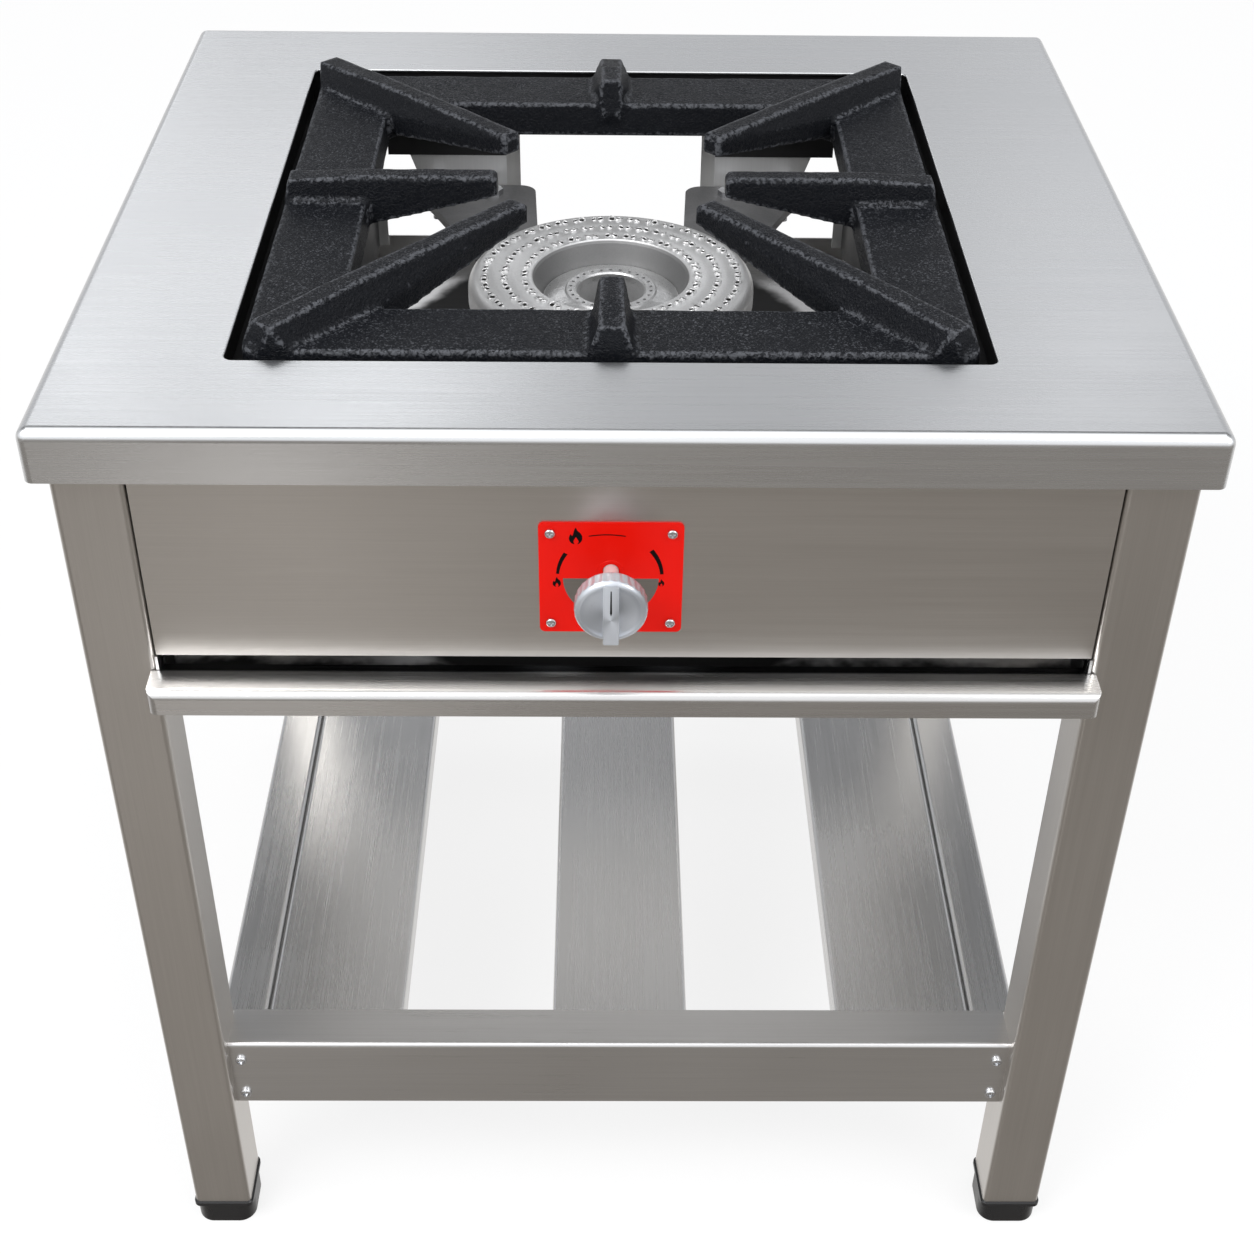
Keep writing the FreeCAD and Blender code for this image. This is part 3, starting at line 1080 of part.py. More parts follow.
def both_ends(places):
    """The places themselves and their mirror images on the left."""
    return [(side * x, z) for _, side in SIDES for x, z in places]


def shelf_rail_cross(end):
    """Folded rail between two legs: a face, a top and an inner return."""
    t = SHELF_SHEET
    body = block(-LEG_IN_X, LEG_IN_X, SHELF_RAIL_INNER, SHELF_RAIL_FACE,
                 SHELF_TOP - SHELF_RAIL_HEIGHT, SHELF_TOP)
    body = rounded(body, SHELF_BEND, lambda m, d: abs(d.x) > 0.999 and m.y > SHELF_RAIL_FACE - 0.01
                   and m.z > SHELF_TOP - 0.01)
    hollow = block(-LEG_IN_X, LEG_IN_X, SHELF_RAIL_INNER + t, SHELF_RAIL_FACE - t,
                   SHELF_TOP - SHELF_RAIL_HEIGHT, SHELF_TOP - t)
    lower = block(-LEG_IN_X, LEG_IN_X, SHELF_RAIL_INNER, SHELF_RAIL_INNER + t,
                  SHELF_TOP - SHELF_RAIL_HEIGHT, SHELF_TOP - SIDE_RAIL_HEIGHT)
    holes = [rod("y", x, z, SHELF_SCREW_RADIUS + SCREW_CLEAR, SHELF_RAIL_FACE - 2 * t, SHELF_RAIL_FACE + t)
             for x, z in both_ends(shelf_screw_places())]
    return flipped(body.cut([hollow, lower] + holes), end)


def folded_slat(x0, x1, drop):
    """A strip between the cross rails, with both long edges turned down."""
    t = SHELF_SHEET
    y = SHELF_RAIL_INNER
    body = block(x0, x1, -y, y, SHELF_TOP - drop, SHELF_TOP)
    body = rounded(body, SHELF_BEND, lambda m, d: abs(d.y) > 0.999 and m.z > SHELF_TOP - 0.01)
    return body.cut(block(x0 + t, x1 - t, -y, y, SHELF_TOP - drop, SHELF_TOP - t))


def shelf_slat(index):
    """One of the three slats; index -1, 0 or 1 counts from the middle."""
    middle = index * SLAT_PITCH
    return folded_slat(middle - SLAT_WIDTH / 2, middle + SLAT_WIDTH / 2, SLAT_LIP)


def shelf_rail_side(side):
    """Side rail beside the outer slat."""
    return mirrored(folded_slat(SIDE_RAIL_IN, SIDE_RAIL_IN + SIDE_RAIL_WIDTH, SIDE_RAIL_HEIGHT), side)


def shelf_cleats():
    """Four angle cleats on the legs' inner faces, behind the ends of the cross rails."""
    t = CLEAT_SHEET
    face = SHELF_RAIL_FACE - SHELF_SHEET
    z1 = SHELF_TOP - SHELF_SHEET - CLEAT_SHEET
    z0 = z1 - CLEAT_HEIGHT
    on_leg = block(LEG_IN_X - t, LEG_IN_X, face - CLEAT_WIDTH, face, z0, z1)
    on_rail = block(LEG_IN_X - CLEAT_WIDTH, LEG_IN_X, face - t, face, z0, z1)
    holes = [rod("y", x, z, SHELF_SCREW_RADIUS, face - t - 1, face + 1) for x, z in shelf_screw_places()]
    cleat = joined([on_leg, on_rail]).cut(holes)
    return Part.makeCompound([flipped(mirrored(cleat, sx), sy) for _, sx in SIDES for _, sy in ENDS])


def shelf_screws():
    """Eight pan-head screws through the cross rails into the cleats."""
    sizes = (SHELF_SCREW_RADIUS, SHELF_SCREW_HEAD, SHELF_SCREW_HEAD_HEIGHT, SHELF_SHEET + 3 * CLEAT_SHEET)
    screws = [pan_screw("y", x, z, SHELF_RAIL_FACE, 1, sizes) for x, z in both_ends(shelf_screw_places())]
    return Part.makeCompound([flipped(screw, sy) for _, sy in ENDS for screw in screws])


# ---------------------------------------------------------------- all pieces
def build():
    """Make every piece and write it."""
    os.makedirs("parts", exist_ok=True)
    save("top_plate", top_plate())
    save("grate", grate())
    save("grate_support", grate_support())
    save("burner_carrier", burner_carrier())
    save("carrier_bolts", carrier_bolts())
    save("carrier_nuts", carrier_nuts())
    save("hanger_rivets", hanger_rivets())
    save("burner_body", burner_body())
    save("burner_ring", burner_ring())
    save("burner_inner_ring", burner_inner_ring())
    save("air_shutter", air_shutter())
    save("injector", injector())
    save("valve_body", valve_body())
    save("valve_plug", valve_plug())
    save("valve_cap", valve_cap())
    save("valve_spindle", valve_spindle())
    save("valve_bracket", valve_bracket())
    save("valve_screws", valve_screws())
    save("knob", knob())
    save("control_plate", control_plate())
    save("control_plate_screws", control_plate_screws())
    save("fascia", fascia())
    save("supply_pipe", supply_pipe())
    save("pipe_nuts", pipe_nuts())
    save("inlet_fitting", inlet_fitting())
    save("inlet_bracket", inlet_bracket())
    save("drip_tray", tray())
    save("tray_handle", tray_handle())
    save("shelf_slat_centre", shelf_slat(0))
    save("shelf_cleats", shelf_cleats())
    save("shelf_screws", shelf_screws())
    for end_name, end in ENDS:
        save("frame_rail_" + end_name, frame_rail_cross(end))
        save("shelf_rail_" + end_name, shelf_rail_cross(end))
    for side_name, side in SIDES:
        save("frame_rail_" + side_name, frame_rail_side(side))
        save("side_panel_" + side_name, side_panel(side))
        save("side_guard_" + side_name, side_guard(side))
        save("tray_runner_" + side_name, tray_runner(side))
        save("shelf_rail_" + side_name, shelf_rail_side(side))
        save("shelf_slat_" + side_name, shelf_slat(side))
        for end_name, end in ENDS:
            save("leg_" + end_name + "_" + side_name, leg(side, end))
            save("foot_" + end_name + "_" + side_name, foot(side, end))
            save("hanger_" + end_name + "_" + side_name, hanger(side, end))


build()
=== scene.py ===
"""Looks of a free-standing stock pot range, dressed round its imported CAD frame."""

import json
import logging
import math
from dataclasses import dataclass
from enum import Enum
from typing import Callable, Sequence, Union

import bmesh
import bpy
import numpy as np
from mathutils import Matrix, Vector, noise

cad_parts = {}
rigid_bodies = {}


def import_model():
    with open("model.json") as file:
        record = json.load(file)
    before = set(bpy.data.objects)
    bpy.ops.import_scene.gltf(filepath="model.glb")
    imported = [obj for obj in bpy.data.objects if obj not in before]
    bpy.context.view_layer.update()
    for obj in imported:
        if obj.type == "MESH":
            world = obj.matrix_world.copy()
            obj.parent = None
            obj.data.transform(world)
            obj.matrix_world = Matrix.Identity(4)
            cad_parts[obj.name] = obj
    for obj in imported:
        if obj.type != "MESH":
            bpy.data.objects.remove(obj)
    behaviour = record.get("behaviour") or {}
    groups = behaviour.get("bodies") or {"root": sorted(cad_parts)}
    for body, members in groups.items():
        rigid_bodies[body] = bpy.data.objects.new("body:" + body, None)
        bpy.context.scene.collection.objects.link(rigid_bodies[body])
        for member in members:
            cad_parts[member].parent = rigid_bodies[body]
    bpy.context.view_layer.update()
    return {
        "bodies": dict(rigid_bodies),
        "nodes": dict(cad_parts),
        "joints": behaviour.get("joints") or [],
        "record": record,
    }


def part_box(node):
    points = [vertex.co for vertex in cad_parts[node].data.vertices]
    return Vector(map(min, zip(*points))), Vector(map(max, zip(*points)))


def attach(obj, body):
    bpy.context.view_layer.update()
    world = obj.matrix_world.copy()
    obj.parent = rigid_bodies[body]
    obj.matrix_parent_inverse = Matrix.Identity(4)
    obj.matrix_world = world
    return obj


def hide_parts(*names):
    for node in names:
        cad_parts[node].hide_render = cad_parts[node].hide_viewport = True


LOG = logging.getLogger("range")
MM = 0.001
IMAGE_SIDE = 1254
BURNER = (-0.008, 0.015)
SPINDLE_MM = (-8.0, 557.0)
Material = bpy.types.Material
Object = bpy.types.Object
Pair = tuple[float, float]
Colour = tuple[float, float, float]
Value = Union["Sock", float, Sequence[float]]
Inputs = dict[str, Value]


# ---- shader maths
def maths(operation: str, swapped: bool = False) -> Callable[["Sock", "Value"], "Sock"]:
    """An arithmetic method that adds a Math node, with its operands swapped for 2 - sock.

    Args:
        operation: The Math node's operation.
        swapped: Whether the other operand comes first.

    Returns:
        The method.
    """
    def run(sock: "Sock", other: "Value") -> "Sock":
        return sock.graph.math(operation, *((other, sock) if swapped else (sock, other)))
    return run


class Sock:
    """A shader output on which arithmetic builds Math nodes."""

    def __init__(self, graph: "Graph", output: bpy.types.NodeSocket) -> None:
        self.graph = graph
        self.output = output

    __add__, __radd__ = maths("ADD"), maths("ADD", True)
    __sub__, __rsub__ = maths("SUBTRACT"), maths("SUBTRACT", True)
    __mul__, __rmul__ = maths("MULTIPLY"), maths("MULTIPLY", True)
    __truediv__, __pow__ = maths("DIVIDE"), maths("POWER")

    def least(self, other: Value) -> "Sock":
        """The smaller of two values."""
        return self.graph.math("MINIMUM", self, other)

    def most(self, other: Value) -> "Sock":
        """The larger of two values."""
        return self.graph.math("MAXIMUM", self, other)


class Graph:
    """Builds a node tree by values; every node but Math comes from node()."""

    def __init__(self, tree: bpy.types.NodeTree) -> None:
        self.tree = tree
        tree.nodes.clear()

    def plug(self, socket: bpy.types.NodeSocket, value: Value) -> None:
        """Link or set one input.

        Args:
            socket: The input to feed.
            value: A Sock, or a constant that the input takes.
        """
        if isinstance(value, Sock):
            self.tree.links.new(value.output, socket)
        else:
            socket.default_value = value

    def node(self, kind: str, settings: dict | None = None, out: int | str = 0, **inputs: Value) -> Sock:
        """Add a node.

        Args:
            kind: The node's type name after ShaderNode.
            settings: Attributes to set on the node.
            out: Which output to return.
            **inputs: Values by input name, with _ for a space, or i0, i1 by position.

        Returns:
            The output asked for.
        """
        made = self.tree.nodes.new("ShaderNode" + kind)
        for name, value in (settings or {}).items():
            setattr(made, name, value)
        for name, value in inputs.items():
            key = int(name[1:]) if name[0] == "i" and name[1:].isdigit() else name.replace("_", " ")
            self.plug(made.inputs[key], value)
        return Sock(self, made.outputs[out])

    def math(self, operation: str, first: Value, second: Value = 0.0) -> Sock:
        """One Math node."""
        return self.node("Math", {"operation": operation}, i0=first, i1=second)

    def coords(self) -> Sock:
        """Object coordinates, in metres in the row frame."""
        return self.node("TexCoord", out="Object")

    def parts(self, vector: Sock) -> tuple[Sock, Sock, Sock]:
        """The X, Y and Z of a vector."""
        first = self.node("SeparateXYZ", i0=vector)
        outputs = first.output.node.outputs
        return first, Sock(self, outputs[1]), Sock(self, outputs[2])

    def scaled(self, vector: Sock, by: Sequence[float]) -> Sock:
        """A vector times a vector."""
        return self.node("VectorMath", {"operation": "MULTIPLY_ADD"}, i0=vector, i1=tuple(by))

    def noise(self, vector: Sock, scale: float, detail: float = 2.0, rough: float = 0.5, warp: float = 0.0
              ) -> Sock:
        """Noise from 0 to 1."""
        return self.node("TexNoise", Vector=vector, Scale=scale, Detail=detail, Roughness=rough,
                         Distortion=warp)

    def cells(self, vector: Sock, scale: float) -> Sock:
        """Distance in a soft cell pattern."""
        return self.node("TexVoronoi", {"feature": "SMOOTH_F1"}, out="Distance", Vector=vector,
                         Scale=scale)

    def ramp(self, value: Value, low: float, high: float, start: float = 0.0, end: float = 1.0) -> Sock:
        """A smooth step from start to end as value goes from low to high."""
        return self.node("MapRange", {"interpolation_type": "SMOOTHSTEP"}, Value=value,
                         From_Min=low, From_Max=high, To_Min=start, To_Max=end)

    def mix(self, share: Value, first: Value, second: Value) -> Sock:
        """A colour between two colours."""
        made = self.tree.nodes.new("ShaderNodeMix")
        made.data_type = "RGBA"
        for index, value in ((0, share), (6, first), (7, second)):
            self.plug(made.inputs[index], value)
        return Sock(self, made.outputs[2])

    def bump(self, height: Sock, strength: float, distance: float) -> Sock:
        """A normal from a height."""
        return self.node("Bump", Height=height, Strength=strength, Distance=distance)

    def node_out(self, shader: Sock) -> None:
        """Feed the material's output."""
        made = self.tree.nodes.new("ShaderNodeOutputMaterial")
        self.plug(made.inputs["Surface"], shader)


def rgba(colour: Colour) -> tuple[float, float, float, float]:
    """A colour with full alpha."""
    return (*colour, 1.0)


def shade(colour: Colour, factor: float) -> tuple[float, float, float, float]:
    """A colour made lighter or darker, with full alpha."""
    return (colour[0] * factor, colour[1] * factor, colour[2] * factor, 1.0)


# ---- finishes
class Axis(Enum):
    """The direction of a brushed grain."""

    X = 0
    Y = 1
    Z = 2


@dataclass(frozen=True)
class Finish:
    """A finish that becomes one material."""

    name: str
    tint: Colour = (0.7, 0.7, 0.7)
    roughness: float = 0.4
    metallic: float = 1.0

    def surface(self, graph: Graph) -> Inputs:
        """The varying inputs of the shader, by name."""
        raise NotImplementedError

    def uniform(self) -> dict[str, float]:
        """The inputs of the shader that are the same all over."""
        return {}

    def build(self) -> Material:
        """Make the material.

        Returns:
            A new node material.
        """
        material = bpy.data.materials.new(self.name)
        material.use_nodes = True
        graph = Graph(material.node_tree)
        inputs = {"Metallic": self.metallic, "Roughness": self.roughness, "Base_Color": rgba(self.tint)}
        inputs.update(self.uniform())
        inputs.update(self.surface(graph))
        shader = graph.node("BsdfPrincipled", **inputs)
        graph.node_out(shader)
        return material


@dataclass(frozen=True)
class BrushedSteel(Finish):
    """Stainless sheet with a brushed grain, soft smudges and fine scratches."""

    grain: Axis = Axis.X
    cloud: float = 0.10
    depth: float = 0.10
    FINE_LINES = (2600.0, 14.0)
    WIDE_LINES = (420.0, 5.0)
    CLOUD_SCALE = 5.5
    LEAST_ROUGHNESS = 0.08
    BUMP_HEIGHT = 0.00012

    def streaks(self, graph: Graph, where: Sock, scales: Pair) -> Sock:
        """Lines along the grain, from 0 to 1, by their scales across and along."""
        scale = [scales[0]] * 3
        scale[self.grain.value] = scales[1]
        return graph.noise(graph.scaled(where, scale), 1.0, 3.0, 0.62)

    def surface(self, graph: Graph) -> Inputs:
        where = graph.coords()
        fine = self.streaks(graph, where, self.FINE_LINES)
        wide = self.streaks(graph, where, self.WIDE_LINES)
        clouds = graph.noise(where, self.CLOUD_SCALE, 2.0, 0.5, 0.6)
        tone = 0.90 + (fine - 0.5) * 0.30 + (wide - 0.5) * 0.20 + (clouds - 0.5) * self.cloud
        colour = graph.mix(tone.least(1.0), shade(self.tint, 0.55), shade(self.tint, 1.06))
        rough = self.roughness + (wide - 0.5) * 0.10 + (clouds - 0.5) * 0.12 + (fine - 0.5) * 0.06
        return {"Base_Color": colour, "Roughness": rough.most(self.LEAST_ROUGHNESS),
                "Normal": graph.bump(fine + wide * 0.6, self.depth, self.BUMP_HEIGHT)}


@dataclass(frozen=True)
class CastIron(Finish):
    """Black iron with a leathery cast skin, short pale strokes stronger on its up-facing tops, and pale
    curved edges; strokes and edges are part wear, part painted highlight.
    """

    sheen_and_wear_tone: Colour = (0.165, 0.172, 0.190)
    grain_scale: float = 480.0
    depth: float = 0.7
    gloss: float = 0.16
    DRIFT_SCALE = 240.0
    DRIFT = 0.0024
    RIDGE_WIDTH = 0.085
    STROKE_SCALE = 900.0
    PIT_SCALE = 640.0
    BROAD_SCALE = 70.0
    PATCH_SCALE = 26.0
    BUMP_HEIGHT = 0.0012

    def uniform(self) -> dict[str, float]:
        return {"Specular_IOR_Level": self.gloss}

    def surface(self, graph: Graph) -> Inputs:
        where = graph.coords()
        drift = graph.node("TexNoise", out="Color", Vector=where,
                           Scale=self.DRIFT_SCALE)
        warped = graph.node("VectorMath", {"operation": "ADD"}, i0=where,
                            i1=graph.scaled(drift, (self.DRIFT,) * 3))
        worm = graph.noise(warped, self.grain_scale, 1.5, 0.5, 0.6)
        ridge = (1.0 - graph.math("ABSOLUTE", worm - 0.5) / self.RIDGE_WIDTH).most(0.0)
        strokes = ridge * graph.ramp(graph.noise(where, self.STROKE_SCALE, 1.0), 0.48, 0.64)
        pits = graph.cells(warped, self.PIT_SCALE)
        broad = graph.noise(where, self.BROAD_SCALE, 3.0)
        edge_curvature = graph.node("Attribute", {"attribute_name": "edge_curvature"}, out="Fac")
        top = graph.node("Attribute", {"attribute_name": "top"}, out="Fac")
        patch = graph.ramp(graph.noise(where, self.PATCH_SCALE, 2.0), 0.35, 0.65, 0.5, 1.0)
        edge_sheen_and_wear = ((edge_curvature - 0.62 + (worm - 0.5) * 2.2) * 1.6).most(0.0).least(1.0)
        # painted highlight mixed with wear: the pale strokes are much stronger on up-facing tops, and the
        # pale edges follow the edge curvature
        share = (strokes * (0.06 + top * 0.46) * patch + edge_sheen_and_wear * 0.45).least(1.0)
        colour = graph.mix(share, rgba(self.tint), rgba(self.sheen_and_wear_tone))
        height = ridge * 0.3 + worm * 0.4 + pits * 0.35 + broad * 0.5
        return {"Base_Color": colour, "Roughness": self.roughness + (worm - 0.5) * 0.25 - strokes * 0.10,
                "Normal": graph.bump(height, self.depth, self.BUMP_HEIGHT)}


@dataclass(frozen=True)
class PaintedCasting(Finish):
    """Metallic heat-proof paint over a sandy casting."""

    grain_scale: float = 900.0
    lump_scale: float = 130.0
    depth: float = 0.35
    soot: float = 0.25
    sandy: float = 0.7
    STAIN_SCALE = 34.0
    BUMP_HEIGHT = 0.0006

    def relief(self, graph: Graph, where: Sock, sand: Sock) -> Sock:
        """The height of the casting's skin."""
        return sand * self.sandy + graph.noise(where, self.lump_scale, 2.0) * 0.6

    def surface(self, graph: Graph) -> Inputs:
        where = graph.coords()
        sand = graph.noise(where, self.grain_scale, 4.0, 0.6)
        stain = graph.noise(where, self.STAIN_SCALE, 3.0, 0.6, 0.4)
        colour = graph.mix(graph.ramp(stain, 0.35, 0.72) * self.soot + (sand - 0.5) * 0.35, rgba(self.tint),
                           shade(self.tint, 0.35))
        return {"Base_Color": colour, "Roughness": self.roughness + (sand - 0.5) * 0.2,
                "Normal": graph.bump(self.relief(graph, where, sand), self.depth, self.BUMP_HEIGHT)}


@dataclass(frozen=True)
class BurnerCap(PaintedCasting):
    """The drilled ring: soft ridges between its rows of ports, and painted shade in its recessed bowl."""

    middle: Pair = BURNER
    first_row: float = 0.0535
    row_pitch: float = 0.01225
    bowl: float = 0.0486
    bowl_edge: float = 0.0006
    groove: float = 1.6

    def radius(self, graph: Graph, where: Sock) -> Sock:
        """The distance from the burner's middle."""
        x, y, _ = graph.parts(where)
        dx, dy = x - self.middle[0], y - self.middle[1]
        return (dx * dx + dy * dy) ** 0.5

    def relief(self, graph: Graph, where: Sock, sand: Sock) -> Sock:
        """The skin's height with a shallow groove along each row."""
        turn = (self.radius(graph, where) - self.first_row) * (2 * math.pi / self.row_pitch)
        return PaintedCasting.relief(self, graph, where, sand) - graph.math("COSINE", turn) * self.groove

    def surface(self, graph: Graph) -> Inputs:
        inputs = PaintedCasting.surface(self, graph)
        # painted shade: the recessed bowl inside the rim is near black and rougher, leaving a thin pale line
        # at its edge
        painted_bowl_shade = graph.ramp(self.radius(graph, graph.coords()), self.bowl, self.bowl - self.bowl_edge)
        inputs["Base_Color"] = graph.mix(painted_bowl_shade * 0.90, inputs["Base_Color"], shade(self.tint, 0.22))
        inputs["Roughness"] = inputs["Roughness"] + painted_bowl_shade * 0.20
        return inputs


@dataclass(frozen=True)
class Smooth(Finish):
    """Plain paint, plastic or plated metal with a faint orange peel."""

    peel_scale: float = 500.0
    depth: float = 0.05
    mottle: float = 0.12
    gloss: float = 0.5
    CLOUD_SCALE = 45.0
    BUMP_HEIGHT = 0.0004

    def uniform(self) -> dict[str, float]:
        return {"Specular_IOR_Level": self.gloss}

    def surface(self, graph: Graph) -> Inputs:
        where = graph.coords()
        peel = graph.noise(where, self.peel_scale, 2.0)
        cloud = graph.noise(where, self.CLOUD_SCALE, 3.0)
        share = (0.5 + (cloud - 0.5) * 2.0).least(1.0).most(0.0) * self.mottle
        return {"Base_Color": graph.mix(share, rgba(self.tint), shade(self.tint, 0.45)),
                "Roughness": self.roughness + (cloud - 0.5) * 0.12 + (peel - 0.5) * 0.05,
                "Normal": graph.bump(peel, self.depth, self.BUMP_HEIGHT)}


@dataclass(frozen=True)
class GuardPaint(Smooth):
    """Black paint, worn off to bare steel at the rear return."""

    bare: float = 0.0958
    BARE_STEEL = (0.55, 0.55, 0.545)

    def surface(self, graph: Graph) -> Inputs:
        inputs = Smooth.surface(self, graph)
        _, y, _ = graph.parts(graph.coords())
        worn = graph.math("GREATER_THAN", y, self.bare)
        inputs["Base_Color"] = graph.mix(worn, inputs["Base_Color"], rgba(self.BARE_STEEL))
        inputs["Metallic"] = worn * 0.8
        return inputs


@dataclass(frozen=True)
class Turned(Finish):
    """Metal turned about the knob's axis, with fine rings and a painted fan of sheen, lighter and darker by
    angle round the axis.
    """

    centre: Pair = (-0.008, 0.557)
    ring: float = 0.00035
    depth: float = 0.12
    RING_NOISE = 5200.0
    CLOUD_SCALE = 120.0
    BUMP_HEIGHT = 0.0001

    def surface(self, graph: Graph) -> Inputs:
        where = graph.coords()
        x, _, z = graph.parts(where)
        dx, dz = x - self.centre[0], z - self.centre[1]
        radius = (dx * dx + dz * dz) ** 0.5
        rings = graph.math("SINE", radius * (2 * math.pi / self.ring))
        fine = graph.noise(graph.node("CombineXYZ", i0=radius * self.RING_NOISE), 1.0, 3.0, 0.7)
        cloud = graph.noise(where, self.CLOUD_SCALE, 2.0)
        # painted reflection: a two-way fan of lighter and darker sheen by angle round the axis, put into the
        # colour
        painted_fan_sheen = 0.5 + graph.math("COSINE", graph.math("ARCTAN2", dz, dx) * 2.0 - 0.9) * 0.5
        colour = graph.mix((fine - 0.3).most(0.0) * 0.5 + painted_fan_sheen * 0.70, rgba(self.tint), shade(self.tint, 0.48))
        rough = self.roughness + (fine - 0.5) * 0.12 + (cloud - 0.5) * 0.06
        return {"Base_Color": colour, "Roughness": rough,
                "Normal": graph.bump(fine + rings * 0.25, self.depth, self.BUMP_HEIGHT)}


@dataclass(frozen=True)
class TrayShadeSteel(BrushedSteel):
    """Tray steel with painted shade, near black round the burner and towards its front under the panel."""

    middle: Pair = BURNER
    reach: float = 0.288
    squeeze: float = 1.55
    front: float = -0.215
    floor: float = 0.4748
    BURNER_SHADE_TONE = (0.008, 0.008, 0.008)
    SHADE_WOBBLE_SCALE = 22.0

    def surface(self, graph: Graph) -> Inputs:
        inputs = BrushedSteel.surface(self, graph)
        where = graph.coords()
        x, y, z = graph.parts(where)
        dx, dy = (x - self.middle[0]) * self.squeeze, y - self.middle[1]
        shade_wobble = (graph.noise(where, self.SHADE_WOBBLE_SCALE, 4.0, 0.6) - 0.5) * 0.03
        # painted shade: the floor goes near black round the burner and towards the front, with a wobbly edge
        burner_shade = graph.ramp((dx * dx + dy * dy) ** 0.5 + shade_wobble, self.reach, self.reach * 0.94)
        stain = burner_shade.most(graph.ramp(y + shade_wobble, self.front, self.front - 0.012))
        _, _, facing = graph.parts(graph.node("NewGeometry", out="Normal"))
        shown = graph.math("GREATER_THAN", facing, 0.5).most(graph.math("LESS_THAN", y, 0.0))
        stain = stain * shown * graph.math("GREATER_THAN", z, self.floor)
        inputs["Base_Color"] = graph.mix(stain * 0.96, inputs["Base_Color"], rgba(self.BURNER_SHADE_TONE))
        inputs["Roughness"] = inputs["Roughness"] + stain * 0.25
        return inputs


@dataclass(frozen=True)
class LipSteel(BrushedSteel):
    """The tray's lip, with painted shade, near black, where it runs in under the front panel."""

    under: float = -0.2474
    edge: float = 0.001
    UNDER_PANEL_SHADE_TONE = (0.008, 0.009, 0.011)

    def surface(self, graph: Graph) -> Inputs:
        inputs = BrushedSteel.surface(self, graph)
        _, y, _ = graph.parts(graph.coords())
        # painted shade: near black behind the line where the lip runs in under the front panel
        inputs["Base_Color"] = graph.mix(graph.ramp(y, self.under - self.edge, self.under + self.edge) * 0.97,
                                         inputs["Base_Color"], rgba(self.UNDER_PANEL_SHADE_TONE))
        return inputs


